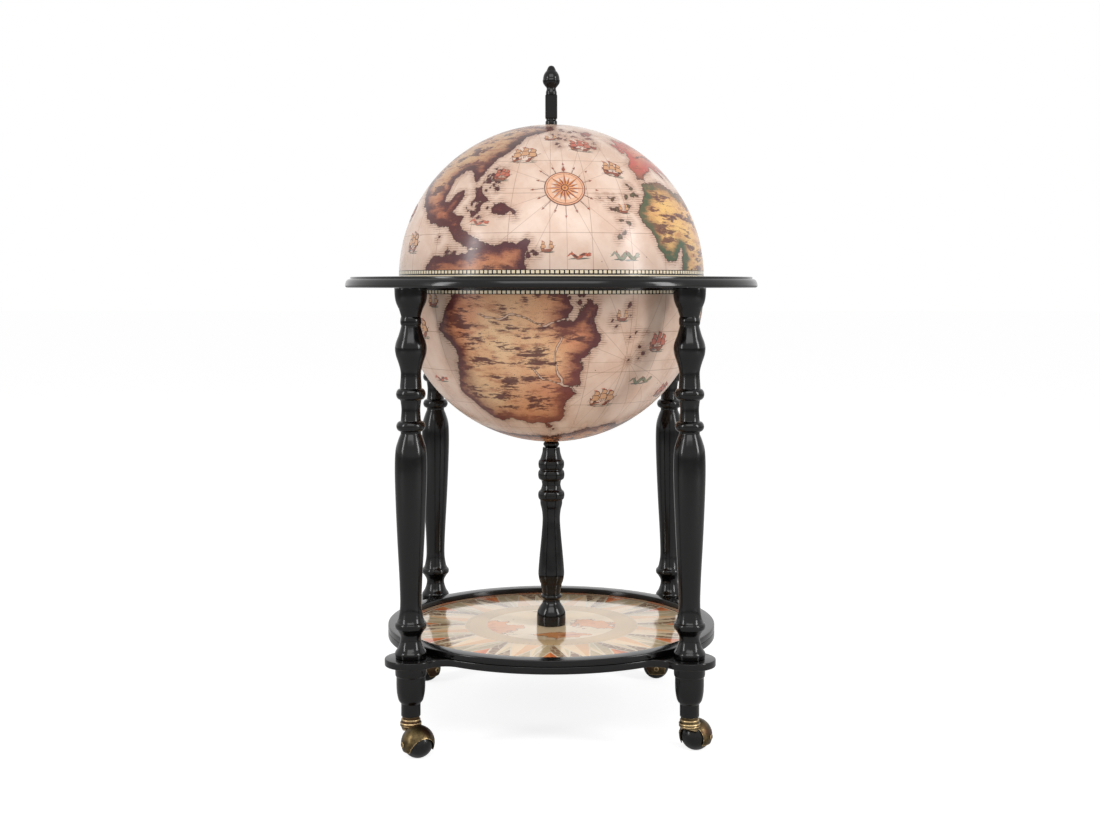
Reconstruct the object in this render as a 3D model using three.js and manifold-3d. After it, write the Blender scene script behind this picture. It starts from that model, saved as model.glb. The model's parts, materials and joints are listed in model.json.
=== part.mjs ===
// Floor globe bar: a hinged globe in a horizon ring, on four turned legs with a round lower
// shelf, a centre column and ball casters. Millimetres, +Z up, origin on the floor under the
// globe's axis, front towards -Y, dome hinge at the rear (+Y).
import * as THREE from "three";
import { mergeVertices } from "three/addons/utils/BufferGeometryUtils.js";
import Module from "manifold-3d";

const wasm = await Module();
wasm.setup();

// Driving dimensions of the whole object.
const ringMidHeight = 595.5;
const ringThickness = 14.4;
const ringOverhang = 34;
const ringReachIn = 11;
const globeRadius = 210;
const globeWall = 5;
const legGlobeGap = 18.6;
const legRadius = 20.4;
const boardTopHeight = 121;
const boardThickness = 9;
const boardInset = 24.6;
const footRadius = 19.8;
const footBallGap = 9.7;
const ballRadius = 19;
const casterTrail = 20;

// Clearances shared by every joint and seat.
const seam = 0.3;
const overrun = 2;
const boltClearance = 0.3;
const pinClearance = 0.3;

// Horizon ring section.
const ringLipInset = 7;
const ringLipHeight = 3;
const ringLipStep = 1.5;
const ringUnderRound = 2;

// Bowl and dome.
const bowlBand = 2;
const rackDepth = 30;
const rackThickness = 8;
const rackEdgeGap = 0.3;
const bottleHoleShare = 0.228;
const bottleCircleShare = 0.372;
const glassHoleShare = 0.164;
const glassCircleShare = 0.768;
const holeTurnShare = 0.5;
const bottleCount = 3;
const glassCount = 6;
const floorDepthShare = 0.8;
const floorThickness = 8;

// Lower shelf.
const earRadius = 33;
const earFillet = 25;
const rimHeight = 8;
const rimWidth = 19.4;
const panelThickness = 1;

// Centre column and boss.
const columnRadius = 19.9;
const bossRadius = 11;
const bossHeight = 8;
const bossShares = [[0.8, 0], [1, 0.35], [1, 0.7], [0.75, 1]];

// Bolts and studs.
const studRadius = 4;
const studDepth = 26;
const footStudDepthShare = 0.4;
const ringStudDepth = 9;
const centerBoltRadius = 3.5;
const centerBoltDepth = 30;
const boltHeadRadius = 8;
const boltHeadHeight = 4;

// Finial.
const finialHeight = 82.5;
const finialRadius = 12.15;
const finialPostWidth = 16.6;
const finialBoltRadius = 3;
const finialBoltDepth = 22;
const finialNutRadius = 9;
const finialNutHeight = 6;
const finialThreadEnd = 4;

// Dome hinge.
const hingeWidth = 50;
const hingeBarrelRadius = 3.5;
const hingePinRadius = 1.5;
const hingeLeafThickness = 1.6;
const hingeLeafReach = 27;
const hingeKnuckleShare = 0.3;
const hingeScrewReachShare = 0.6;
const hingeScrewCrownShare = 0.7;
const hingeScrewRadius = 1.5;
const hingeScrewHeadRadius = 3.2;
const hingeScrewHeadHeight = 1;
const hingeScrewDepth = 3.2;
const hingeScrewSpacing = 28;

// Ball caster.
const casterGap = 1;
const hoodWall = 1.2;
const hoodArchShare = 0.86;
const hoodArchDropShare = 0.4;
const hoodRearArchDropShare = 0.05;
const hoodEarDropShare = 0.5;
const collarTopRadius = 12.2;
const collarRadius = 13.7;
const collarHeight = 9.5;
const collarStep = 4;
const collarNeckRadius = 9;
const collarNeckDrop = 9.5;
const stemRadius = 4;
const stemDepthShare = 0.4;
const stemFlangeRadius = 11;
const stemFlangeHeight = 2.6;
const stemTail = 9;
const axleRadius = 2;
const axleHeadRadius = 3.5;
const axleHeadHeight = 1;

// Facet counts.
const globeFacets = 36;
const globeArcSteps = 9;
const ringFacets = 48;
const turnedFacets = 10;
const boltFacets = 6;
const roundFacets = 16;
const earSteps = 5;
const beadSteps = 3;

// Levels worked out from the sizes above.
const ringTop = ringMidHeight + ringThickness / 2;
const ringBottom = ringMidHeight - ringThickness / 2;
const domeBase = ringTop + seam;
const bowlTop = ringBottom - seam;
const bowlCenterHeight = bowlTop - bowlBand;
const bowlBottom = bowlCenterHeight - globeRadius;
const innerGlobeRadius = globeRadius - globeWall;
const ringInnerRadius = globeRadius - ringReachIn;
const legCircleRadius = globeRadius + legGlobeGap + legRadius;
const ringOuterRadius = legCircleRadius + ringOverhang;
const boardRadius = legCircleRadius - boardInset;
const floorDepth = innerGlobeRadius * floorDepthShare;
const globeArcSag = innerGlobeRadius * (1 - Math.cos(Math.PI / (4 * globeArcSteps)));
const boardBottomHeight = boardTopHeight - boardThickness;
const panelTop = boardTopHeight + seam + panelThickness;
const legBottom = boardTopHeight + seam;
const legHeight = ringBottom - seam - legBottom;
const footTop = boardBottomHeight - seam;
const footBottom = 2 * ballRadius + footBallGap;
const footHeight = footTop - footBottom;
const footStudDepth = footHeight * footStudDepthShare;
const stemDepth = footHeight * stemDepthShare;
const rimInnerRadius = boardRadius - rimWidth;
const columnBottom = panelTop + seam;
const bossTop = bowlBottom - seam;
const columnTop = bossTop - bossHeight - seam;
const columnHeight = columnTop - columnBottom;
const finialBottom = domeBase + globeRadius + seam;
const hingePinHeight = ringTop + seam + hingeBarrelRadius;
const hingePinDepth = globeRadius + seam + hingeBarrelRadius;
const hoodInnerRadius = ballRadius + casterGap;
const hoodOuterRadius = hoodInnerRadius + hoodWall;
const hoodArchRadius = ballRadius * hoodArchShare;
const hoodArchHeight = ballRadius * (1 - hoodArchDropShare);
const hoodRearArchHeight = ballRadius * (1 - hoodRearArchDropShare);
const hoodEarHeight = ballRadius * (1 - hoodEarDropShare);
const collarTop = footBottom - seam - stemFlangeHeight - seam;

// Profiles as [radius share, height share] of the turned piece's radius and height.
const legPadShares = [[0.95, 0], [0.98, 0.014]];
const legBaseCoveShares = [[0.93, 0.018], [0.78, 0.028], [0.65, 0.046], [0.66, 0.06], [0.84, 0.074]];
const legCollarBeadShares = [0.88, 0.99, 0.077, 0.096];
const legShaftShares = [[0.78, 0.105], [0.67, 0.14], [0.71, 0.21], [0.845, 0.32], [0.955, 0.43],
  [1, 0.51], [0.955, 0.56], [0.8, 0.587], [0.63, 0.606]];
const legLowBeadShares = [0.64, 0.9, 0.612, 0.64];
const legCoveShares = [[0.6, 0.65], [0.585, 0.672], [0.62, 0.692]];
const legHighBeadShares = [0.68, 0.915, 0.698, 0.728];
const legBulbShares = [[0.67, 0.736], [0.635, 0.76], [0.65, 0.777], [0.77, 0.797], [0.93, 0.818],
  [0.985, 0.837], [0.93, 0.853], [0.76, 0.873], [0.63, 0.893]];
const legNeckBeadShares = [0.6, 0.66, 0.899, 0.922];
const legCupShares = [[0.63, 0.927], [0.74, 0.943], [0.8, 0.948], [0.94, 0.964], [1.03, 1]];
const footShares = [[0.62, 0], [0.62, 0.24], [0.79, 0.32], [0.885, 0.45], [0.92, 0.6],
  [0.92, 0.78], [0.985, 0.8], [1, 0.85], [1, 1]];
const columnBaseShares = [[1, 0], [1, 0.05], [0.95, 0.075], [0.8, 0.1], [0.62, 0.122], [0.585, 0.137]];
const columnAnkleShares = [0.62, 0.73, 0.146, 0.17];
const columnVaseShares = [[0.63, 0.181], [0.7, 0.21], [0.73, 0.228], [0.86, 0.26], [0.9, 0.3],
  [0.82, 0.385], [0.69, 0.496], [0.61, 0.587], [0.65, 0.64], [0.75, 0.675], [0.77, 0.697]];
const columnLowBeadShares = [0.8, 0.92, 0.705, 0.755];
const columnNeckShares = [[0.7, 0.767], [0.64, 0.789], [0.68, 0.811]];
const columnMidBeadShares = [0.8, 0.92, 0.818, 0.872];
const columnHighBeadShares = [0.79, 0.9, 0.878, 0.93];
const columnTopShares = [[0.72, 0.947], [0.63, 0.97], [0.59, 1]];
const acornShares = [[0.6, 0.49], [0.63, 0.505], [0.63, 0.55], [0.54, 0.595], [0.54, 0.62],
  [0.75, 0.66], [0.93, 0.7], [1, 0.745], [0.97, 0.775], [0.9, 0.82], [0.77, 0.88],
  [0.56, 0.91], [0.42, 0.95], [0.3, 0.985], [0, 1]];
const finialCollarShares = [[0.67, 0], [0.67, 0.06], [0.58, 0.075], [0.58, 0.12]];
const postLowShare = 0.103;
const postHighShare = 0.5;

// Caster headings, in degrees about Z: 0 sends the ball towards +X of its leg.
const corners = [
  { tag: "front_left", x: -1, y: -1, heading: -58 },
  { tag: "front_right", x: 1, y: -1, heading: 62 },
  { tag: "rear_left", x: -1, y: 1, heading: -127 },
  { tag: "rear_right", x: 1, y: 1, heading: 178 },
];

const finishes = {
  lacquer: { color: 0x1a1817, roughness: 0.35, metalness: 0 },
  globePaper: { color: 0xe0c7b2, roughness: 0.3, metalness: 0 },
  panelPrint: { color: 0xcdb99b, roughness: 0.2, metalness: 0 },
  interior: { color: 0x6b4526, roughness: 0.5, metalness: 0 },
  brass: { color: 0x6e5532, roughness: 0.45, metalness: 0.9 },
  steel: { color: 0x8a8a8c, roughness: 0.4, metalness: 0.9 },
  ball: { color: 0x141414, roughness: 0.3, metalness: 0 },
};

const object = new THREE.Group();

// A named mesh with a material of its own.
function piece(name, geometry, finish) {
  const mesh = new THREE.Mesh(geometry, new THREE.MeshStandardMaterial(finish));
  mesh.name = name;
  return mesh;
}

function add(name, geometry, finish, height = 0) {
  const mesh = piece(name, geometry, finish);
  mesh.position.z = height;
  object.add(mesh);
  return mesh;
}

// Turns a [radius, height] outline about Z; an outline off the axis closes on itself.
function turn(outline, facets) {
  const points = outline.map(([r, z]) => new THREE.Vector2(r, z));
  return new THREE.LatheGeometry(points, facets).rotateX(Math.PI / 2);
}

function closed(outline) {
  return [...outline, outline[0]];
}

function scaled(shares, radius, height) {
  return shares.map(([r, z]) => [r * radius, z * height]);
}

// Points on a smooth curve through a few shares of an outline.
function smooth(shares, steps) {
  const curve = new THREE.SplineCurve(shares.map(([r, z]) => new THREE.Vector2(r, z)));
  return curve.getPoints(steps).map((p) => [p.x, p.y]);
}

// A rounded bead from a neck radius out to its crown, between two heights.
function bead([neck, crown, low, high], steps = beadSteps) {
  const points = [];
  for (let i = 0; i <= steps; i += 1) {
    const angle = (Math.PI * i) / steps;
    const height = (low + high) / 2 - ((high - low) / 2) * Math.cos(angle);
    points.push([neck + (crown - neck) * Math.sin(angle), height]);
  }
  return points;
}

// Points of an arc about a centre at [0, height], from one angle to another.
function arc(radius, height, from, to, steps) {
  const points = [];
  for (let i = 0; i <= steps; i += 1) {
    const angle = from + ((to - from) * i) / steps;
    points.push([radius * Math.cos(angle), height + radius * Math.sin(angle)]);
  }
  return points;
}

function rod(radius, low, high, facets = boltFacets) {
  return turn([[0, low], [radius, low], [radius, high], [0, high]], facets);
}

// A closed geometry as a solid that can be joined and cut.
function toSolid(geometry) {
  const bare = geometry.clone();
  bare.deleteAttribute("normal");
  bare.deleteAttribute("uv");
  const merged = mergeVertices(bare);
  const index = merged.index.array;
  const kept = [];
  for (let i = 0; i < index.length; i += 3) {
    const [a, b, c] = [index[i], index[i + 1], index[i + 2]];
    if (a !== b && b !== c && c !== a) {
      kept.push(a, b, c);
    }
  }
  const mesh = new wasm.Mesh({
    numProp: 3,
    vertProperties: new Float32Array(merged.attributes.position.array),
    triVerts: new Uint32Array(kept),
  });
  return new wasm.Manifold(mesh);
}

function toGeometry(solid) {
  const mesh = solid.getMesh();
  const geometry = new THREE.BufferGeometry();
  geometry.setAttribute("position", new THREE.BufferAttribute(mesh.vertProperties, mesh.numProp));
  geometry.setIndex(new THREE.BufferAttribute(mesh.triVerts, 1));
  geometry.computeVertexNormals();
  return geometry;
}

function joinAll(geometries) {
  return geometries.map(toSolid).reduce((whole, part) => whole.add(part));
}

function cutAll(solid, cutters) {
  return cutters.map(toSolid).reduce((rest, cutter) => rest.subtract(cutter), solid);
}

// Blind bores in the ends of a turned piece, as outline points on its axis.
function boredEnds(outline, height, low, high) {
  const start = low ? [[0, low.depth], [low.radius, low.depth], [low.radius, 0]] : [[0, 0]];
  const end = high
    ? [[high.radius, height], [high.radius, height - high.depth], [0, height - high.depth]]
    : [[0, height]];
  return [...start, ...outline, ...end];
}

function bore(radius, depth) {
  return { radius: radius + boltClearance, depth: depth + seam };
}

function cornerPlace(corner) {
  const reach = legCircleRadius * Math.SQRT1_2;
  return [corner.x * reach, corner.y * reach];
}

// Horizon ring: lip, small step and a rounded nose, with holes for studs and hinge screws.
function ringOutline() {
  const top = ringThickness / 2;
  const lipRadius = ringOuterRadius - ringLipInset;
  const noseTop = top - ringLipHeight;
  const noseLow = ringUnderRound - top;
  const noseStart = lipRadius + ringLipStep;
  const nose = arc(1, 0, Math.PI / 2, 0, beadSteps);
  return closed([
    [ringInnerRadius, top],
    [ringInnerRadius, -top],
    [ringOuterRadius - ringUnderRound, -top],
    ...nose.map(([x, y]) => [
      noseStart + (ringOuterRadius - noseStart) * x,
      noseLow + (noseTop - noseLow) * y,
    ]).reverse(),
    [lipRadius, noseTop],
    [lipRadius, top],
  ]);
}

function hingeScrewPlaces() {
  return [-hingeScrewSpacing / 2, hingeScrewSpacing / 2];
}

const hingeScrewReach = hingeLeafReach * hingeScrewReachShare;
const hingeFlatScrewDepth = hingePinDepth + hingeScrewReach;
const hingeWallScrewRise = hingePinHeight - domeBase + hingeScrewReach;

function makeRing() {
  const top = ringThickness / 2;
  const studHoles = corners.map((corner) => {
    const [x, y] = cornerPlace(corner);
    const hole = rod(studRadius + boltClearance, -top - overrun, ringStudDepth + seam - top);
    return hole.translate(x, y, 0);
  });
  const screwHoles = hingeScrewPlaces().map((x) => {
    const hole = rod(hingeScrewRadius + boltClearance, top - hingeScrewDepth - seam, top + overrun);
    return hole.translate(x, hingeFlatScrewDepth, 0);
  });
  const solid = cutAll(toSolid(turn(ringOutline(), ringFacets)), [...studHoles, ...screwHoles]);
  add("horizon_ring", toGeometry(solid), finishes.lacquer, ringMidHeight);
}

// Upper dome: a half shell with a bolt hole at its pole and two screw holes at the rear.
function makeDome() {
  const hole = finialBoltRadius + boltClearance;
  const outer = arc(globeRadius, 0, 0, Math.acos(hole / globeRadius), globeArcSteps);
  const inner = arc(innerGlobeRadius, 0, Math.acos(hole / innerGlobeRadius), 0, globeArcSteps);
  const shell = toSolid(turn(closed([...outer, ...inner]), globeFacets));
  const screwHoles = hingeScrewPlaces().map((x) => {
    const hole = rod(hingeScrewRadius + boltClearance, -globeRadius - overrun, -innerGlobeRadius / 2);
    return hole.rotateX(Math.PI / 2).translate(x, 0, hingeWallScrewRise);
  });
  add("upper_dome", toGeometry(cutAll(shell, screwHoles)), finishes.globePaper, domeBase);
}

// Lower bowl: a half shell hanging under the ring, with a bolt hole at its bottom.
function makeBowl() {
  const hole = centerBoltRadius + boltClearance;
  const outer = arc(globeRadius, 0, -Math.acos(hole / globeRadius), 0, globeArcSteps);
  const inner = arc(innerGlobeRadius, 0, 0, -Math.acos(hole / innerGlobeRadius), globeArcSteps);
  const outline = [...outer, [globeRadius, bowlBand], [innerGlobeRadius, bowlBand], ...inner];
  add("lower_bowl", turn(closed(outline), globeFacets), finishes.globePaper, bowlCenterHeight);
}

// The widest radius at a depth under the bowl's centre, less the gap at a disc's edge.
function discRadius(depth) {
  return Math.sqrt((innerGlobeRadius - globeArcSag) ** 2 - depth ** 2) - rackEdgeGap;
}

// Places spaced evenly on a circle, the first half a step from the front.
function circlePlaces(count, radius) {
  return Array.from({ length: count }, (_, i) => {
    const angle = (2 * Math.PI * (i + holeTurnShare)) / count;
    return [radius * Math.sin(angle), -radius * Math.cos(angle)];
  });
}

function roundHole(x, y, radius) {
  const hole = new THREE.Path();
  hole.absarc(x, y, radius, 0, 2 * Math.PI, true);
  return hole;
}

// Bottle rack: a disc with holes for bottles and glasses, wedged in the bowl near its mouth.
function makeRack() {
  const radius = discRadius(rackDepth);
  const disc = toSolid(rod(radius, 0, rackThickness, globeFacets));
  const through = (holeRadius) => ([x, y]) => {
    const hole = rod(holeRadius, -overrun, rackThickness + overrun, roundFacets);
    return hole.translate(x, y, 0);
  };
  const holes = [
    ...circlePlaces(bottleCount, radius * bottleCircleShare).map(through(radius * bottleHoleShare)),
    ...circlePlaces(glassCount, radius * glassCircleShare).map(through(radius * glassHoleShare)),
  ];
  const height = bowlCenterHeight - rackDepth;
  add("bottle_rack", toGeometry(cutAll(disc, holes)), finishes.interior, height);
}

// Bottle floor: the disc that the bottles stand on, low in the bowl.
function makeBottleFloor() {
  const disc = rod(discRadius(floorDepth), 0, floorThickness, globeFacets);
  add("bottle_floor", disc, finishes.interior, bowlCenterHeight - floorDepth);
}

function legOutline() {
  return [
    ...legPadShares,
    ...smooth(legBaseCoveShares, 3),
    ...bead(legCollarBeadShares),
    ...smooth(legShaftShares, 9),
    ...bead(legLowBeadShares),
    ...legCoveShares,
    ...bead(legHighBeadShares),
    ...smooth(legBulbShares, 7),
    ...bead(legNeckBeadShares, 2),
    ...legCupShares,
  ];
}

// A turned leg with a stud bore in each end.
function legGeometry() {
  const outline = scaled(legOutline(), legRadius, legHeight);
  const stud = bore(studRadius, studDepth);
  return turn(boredEnds(outline, legHeight, stud, stud), turnedFacets);
}

// A turned foot with a stud bore on top and the caster stem's bore below.
function footGeometry() {
  const outline = scaled(footShares, footRadius, footHeight);
  const stem = bore(stemRadius, stemDepth);
  const stud = bore(studRadius, footStudDepth);
  return turn(boredEnds(outline, footHeight, stem, stud), turnedFacets);
}

function makeLegs() {
  for (const corner of corners) {
    const [x, y] = cornerPlace(corner);
    const leg = add(`leg_${corner.tag}`, legGeometry(), finishes.lacquer, legBottom);
    const foot = add(`foot_${corner.tag}`, footGeometry(), finishes.lacquer, footBottom);
    const topStud = rod(studRadius, ringBottom - studDepth, ringBottom + ringStudDepth);
    const lowStud = rod(studRadius, footTop - footStudDepth, legBottom + studDepth);
    const upper = add(`ring_stud_${corner.tag}`, topStud, finishes.steel);
    const lower = add(`foot_stud_${corner.tag}`, lowStud, finishes.steel);
    for (const mesh of [leg, foot, upper, lower]) {
      mesh.position.x = x;
      mesh.position.y = y;
    }
  }
}

// Base board: a disc with an ear under each leg, blended in by concave fillets.
function boardShape() {
  const filletReach = boardRadius + earFillet;
  const earReach = earRadius + earFillet;
  const span = (legCircleRadius ** 2 + filletReach ** 2 - earReach ** 2)
    / (2 * legCircleRadius * filletReach);
  const swing = Math.acos(span);
  const shape = new THREE.Shape();
  for (let i = 0; i < corners.length; i += 1) {
    const middle = ((2 * i + 1) * Math.PI) / 4;
    const [before, after] = [middle - swing, middle + swing];
    const ear = [legCircleRadius * Math.cos(middle), legCircleRadius * Math.sin(middle)];
    const first = [filletReach * Math.cos(before), filletReach * Math.sin(before)];
    const last = [filletReach * Math.cos(after), filletReach * Math.sin(after)];
    const toEarFirst = Math.atan2(ear[1] - first[1], ear[0] - first[0]);
    const toEarLast = Math.atan2(ear[1] - last[1], ear[0] - last[0]);
    shape.absarc(...first, earFillet, before + Math.PI, toEarFirst, true);
    shape.absarc(...ear, earRadius, toEarFirst + Math.PI, toEarLast + Math.PI, false);
    shape.absarc(...last, earFillet, toEarLast, after + Math.PI, true);
    shape.absarc(0, 0, boardRadius, after, before + Math.PI / 2, false);
  }
  return shape;
}

function makeBoard() {
  const shape = boardShape();
  shape.holes.push(roundHole(0, 0, centerBoltRadius + boltClearance));
  for (const corner of corners) {
    shape.holes.push(roundHole(...cornerPlace(corner), studRadius + boltClearance));
  }
  const settings = { depth: boardThickness, bevelEnabled: false, curveSegments: earSteps };
  add("base_board", new THREE.ExtrudeGeometry(shape, settings), finishes.lacquer, boardBottomHeight);
}

function annulus(inner, outer, height, facets) {
  return turn(closed([[inner, 0], [outer, 0], [outer, height], [inner, height]]), facets);
}

// Shelf rim and the printed panel inside it.
function makeTray() {
  const seat = boardTopHeight + seam;
  const rim = annulus(rimInnerRadius, boardRadius, rimHeight, ringFacets);
  const panelHole = centerBoltRadius + boltClearance;
  const panel = annulus(panelHole, rimInnerRadius - seam, panelThickness, ringFacets);
  add("tray_rim", rim, finishes.lacquer, seat);
  add("tray_panel", panel, finishes.panelPrint, seat);
}

function columnOutline() {
  return [
    ...columnBaseShares,
    ...bead(columnAnkleShares, 2),
    ...smooth(columnVaseShares, 9),
    ...bead(columnLowBeadShares),
    ...columnNeckShares,
    ...bead(columnMidBeadShares),
    ...bead(columnHighBeadShares),
    ...columnTopShares,
  ];
}

// Centre column, the boss on top of it, and a bolt at each end.
function makeColumn() {
  const outline = scaled(columnOutline(), columnRadius, columnHeight);
  const hole = bore(centerBoltRadius, centerBoltDepth);
  const column = turn(boredEnds(outline, columnHeight, hole, hole), turnedFacets);
  add("center_column", column, finishes.lacquer, columnBottom);

  const boss = closed([
    [centerBoltRadius + boltClearance, 0],
    ...scaled(bossShares, bossRadius, bossHeight),
    [centerBoltRadius + boltClearance, bossHeight],
  ]);
  add("bowl_boss", turn(boss, roundFacets), finishes.lacquer, bossTop - bossHeight);

  const lowHead = boardBottomHeight - seam;
  const lowBolt = turn([
    [0, lowHead - boltHeadHeight],
    [boltHeadRadius, lowHead - boltHeadHeight],
    [boltHeadRadius, lowHead],
    [centerBoltRadius, lowHead],
    [centerBoltRadius, columnBottom + centerBoltDepth],
    [0, columnBottom + centerBoltDepth],
  ], boltFacets);
  add("column_bolt", lowBolt, finishes.steel);

  const highHead = bowlBottom + globeWall + sagitta(boltHeadRadius) + globeArcSag;
  const highBolt = turn([
    [0, columnTop - centerBoltDepth],
    [centerBoltRadius, columnTop - centerBoltDepth],
    [centerBoltRadius, highHead],
    [boltHeadRadius, highHead],
    [boltHeadRadius, highHead + boltHeadHeight],
    [0, highHead + boltHeadHeight],
  ], boltFacets);
  add("bowl_bolt", highBolt, finishes.steel);
}

// How far the globe's inner surface drops or rises over a radius from its pole.
function sagitta(radius) {
  return innerGlobeRadius - Math.sqrt(innerGlobeRadius ** 2 - radius ** 2);
}

// Finial: collar, square post and acorn in one turned piece, bolted through the dome.
function makeFinial() {
  const collar = scaled(finialCollarShares, finialRadius, finialHeight);
  const acorn = scaled(acornShares, finialRadius, finialHeight);
  const postLow = postLowShare * finialHeight;
  const postHigh = postHighShare * finialHeight;
  const post = new THREE.BoxGeometry(finialPostWidth, finialPostWidth, postHigh - postLow);
  const solid = joinAll([
    turn([[0, 0], ...collar, [0, collar.at(-1)[1]]], roundFacets),
    post.translate(0, 0, (postLow + postHigh) / 2),
    turn([[0, acorn[0][1]], ...acorn], roundFacets),
  ]);
  const hole = rod(finialBoltRadius + boltClearance, -overrun, finialBoltDepth + seam);
  add("finial", toGeometry(cutAll(solid, [hole])), finishes.lacquer, finialBottom);

  const nutTop = domeBase + innerGlobeRadius - sagitta(finialNutRadius) - globeArcSag;
  const nutLow = nutTop - finialNutHeight;
  const boltTop = finialBottom + finialBoltDepth;
  const bolt = rod(finialBoltRadius, nutLow - finialThreadEnd, boltTop);
  const nut = annulus(finialBoltRadius + boltClearance, finialNutRadius, finialNutHeight, boltFacets);
  add("finial_bolt", bolt, finishes.steel);
  add("finial_nut", nut, finishes.brass, nutLow);
}

// A cylinder along X, for hinge knuckles and pin.
function barrel(radius, from, to, facets = boltFacets) {
  return rod(radius, from, to, facets).rotateY(Math.PI / 2);
}

function atPin(geometry) {
  return geometry.translate(0, hingePinDepth, hingePinHeight);
}

function hingeScrew() {
  return turn([
    [0, -hingeScrewDepth],
    [hingeScrewRadius, -hingeScrewDepth],
    [hingeScrewRadius, hingeLeafThickness + seam],
    [hingeScrewHeadRadius, hingeLeafThickness + seam],
    [hingeScrewHeadRadius * hingeScrewCrownShare, hingeLeafThickness + seam + hingeScrewHeadHeight],
    [0, hingeLeafThickness + seam + hingeScrewHeadHeight],
  ], boltFacets);
}

// Dome hinge: a flat leaf on the ring, a curved leaf on the dome, one pin and four screws.
function makeHinge() {
  const half = hingeWidth / 2;
  const knuckle = hingeWidth * hingeKnuckleShare;
  const pinHole = barrel(hingePinRadius + pinClearance, -half - overrun, half + overrun);
  const barrels = [barrel(hingeBarrelRadius, -half, knuckle - half),
    barrel(hingeBarrelRadius, half - knuckle, half)];
  const middle = barrel(hingeBarrelRadius, knuckle - half + seam, half - knuckle - seam);

  const flat = new THREE.BoxGeometry(hingeWidth, hingeLeafReach, hingeLeafThickness);
  flat.translate(0, hingePinDepth + hingeLeafReach / 2, ringTop + seam + hingeLeafThickness / 2);
  const notch = new THREE.BoxGeometry(
    hingeWidth - 2 * knuckle,
    2 * (hingeBarrelRadius + seam),
    2 * (hingeBarrelRadius + seam),
  );
  const flatHoles = hingeScrewPlaces().map((x) => {
    const hole = rod(hingeScrewRadius + boltClearance, ringTop - overrun, hingePinHeight);
    return hole.translate(x, hingeFlatScrewDepth, 0);
  });
  const lowLeaf = cutAll(
    joinAll([flat, ...barrels.map(atPin)]),
    [atPin(notch), atPin(pinHole.clone()), ...flatHoles],
  );
  add("hinge_leaf_ring", toGeometry(lowLeaf), finishes.brass);

  const leafInner = globeRadius + seam;
  const leafOuter = leafInner + hingeLeafThickness;
  const rise = hingePinHeight - domeBase;
  const low = Math.asin((rise - hingePinRadius) / leafInner);
  const high = Math.asin((rise + hingeLeafReach) / leafInner);
  const band = closed([
    ...arc(leafOuter, 0, low, high, beadSteps),
    ...arc(leafInner, 0, high, low, beadSteps),
  ]);
  const slab = new THREE.BoxGeometry(hingeWidth, globeRadius, globeRadius);
  slab.translate(0, globeRadius, 0);
  const curved = toSolid(turn(band, 2 * globeFacets)).intersect(toSolid(slab));
  const sideClear = knuckle + seam;
  const sides = [-1, 1].map((side) => {
    const box = new THREE.BoxGeometry(
      sideClear + overrun,
      2 * (hingeBarrelRadius + seam),
      2 * (hingeBarrelRadius + seam),
    );
    return box.translate(side * (half - (sideClear - overrun) / 2), hingePinDepth, rise);
  });
  const middleHere = middle.translate(0, hingePinDepth, rise);
  const pinHere = pinHole.clone().translate(0, hingePinDepth, rise);
  const wallHoles = hingeScrewPlaces().map((x) => {
    const hole = rod(hingeScrewRadius + boltClearance, -leafOuter - overrun, -globeRadius / 2);
    return hole.rotateX(Math.PI / 2).translate(x, 0, hingeWallScrewRise);
  });
  const clearance = rod(leafInner, -overrun, hingeBarrelRadius + rise, 2 * globeFacets);
  const upLeaf = cutAll(
    curved.add(toSolid(middleHere).subtract(toSolid(clearance))),
    [...sides, pinHere, ...wallHoles],
  );
  add("hinge_leaf_dome", toGeometry(upLeaf), finishes.brass, domeBase);
  add("hinge_pin", atPin(barrel(hingePinRadius, -half, half)), finishes.brass);

  hingeScrewPlaces().forEach((x, i) => {
    const flatScrew = add(`hinge_screw_ring_${i + 1}`, hingeScrew(), finishes.brass, ringTop + seam);
    flatScrew.position.x = x;
    flatScrew.position.y = hingeFlatScrewDepth;
    const wallScrew = piece(`hinge_screw_dome_${i + 1}`, hingeScrew(), finishes.brass);
    const reach = Math.sqrt(leafInner ** 2 - x ** 2 - hingeWallScrewRise ** 2);
    wallScrew.rotation.x = -Math.PI / 2;
    wallScrew.position.set(x, reach + seam, domeBase + hingeWallScrewRise);
    object.add(wallScrew);
  });
}

// Caster hood: collar, neck and a ball-shaped cover with an arch in front, a higher one
// under the collar and two ears.
function hoodGeometry() {
  const collarLow = collarTop - collarHeight;
  const shoulder = collarTop - collarStep;
  const collar = turn([
    [0, collarLow - collarNeckDrop],
    [collarNeckRadius, collarLow - collarNeckDrop],
    [collarRadius, collarLow],
    [collarRadius, shoulder],
    [collarTopRadius, shoulder],
    [collarTopRadius, collarTop],
    [0, collarTop],
  ], roundFacets);
  const shell = sphereAt(hoodOuterRadius);
  const room = sphereAt(hoodInnerRadius);
  const arch = barrel(hoodArchRadius, casterTrail, globeRadius, roundFacets);
  arch.translate(0, 0, hoodArchHeight);
  const rearArch = barrel(hoodArchRadius, -globeRadius, casterTrail, roundFacets);
  rearArch.translate(0, 0, hoodRearArchHeight);
  const below = new THREE.BoxGeometry(globeRadius, globeRadius, globeRadius);
  below.translate(0, 0, hoodEarHeight - globeRadius / 2);
  const stemHole = rod(stemRadius + pinClearance, 0, collarTop + overrun, roundFacets);
  const axleHole = rod(axleRadius + pinClearance, -globeRadius, globeRadius);
  axleHole.rotateX(Math.PI / 2).translate(casterTrail, 0, ballRadius);
  const cuts = [room, arch, rearArch, below, stemHole, axleHole];
  return toGeometry(cutAll(joinAll([collar, shell]), cuts));
}

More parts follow.
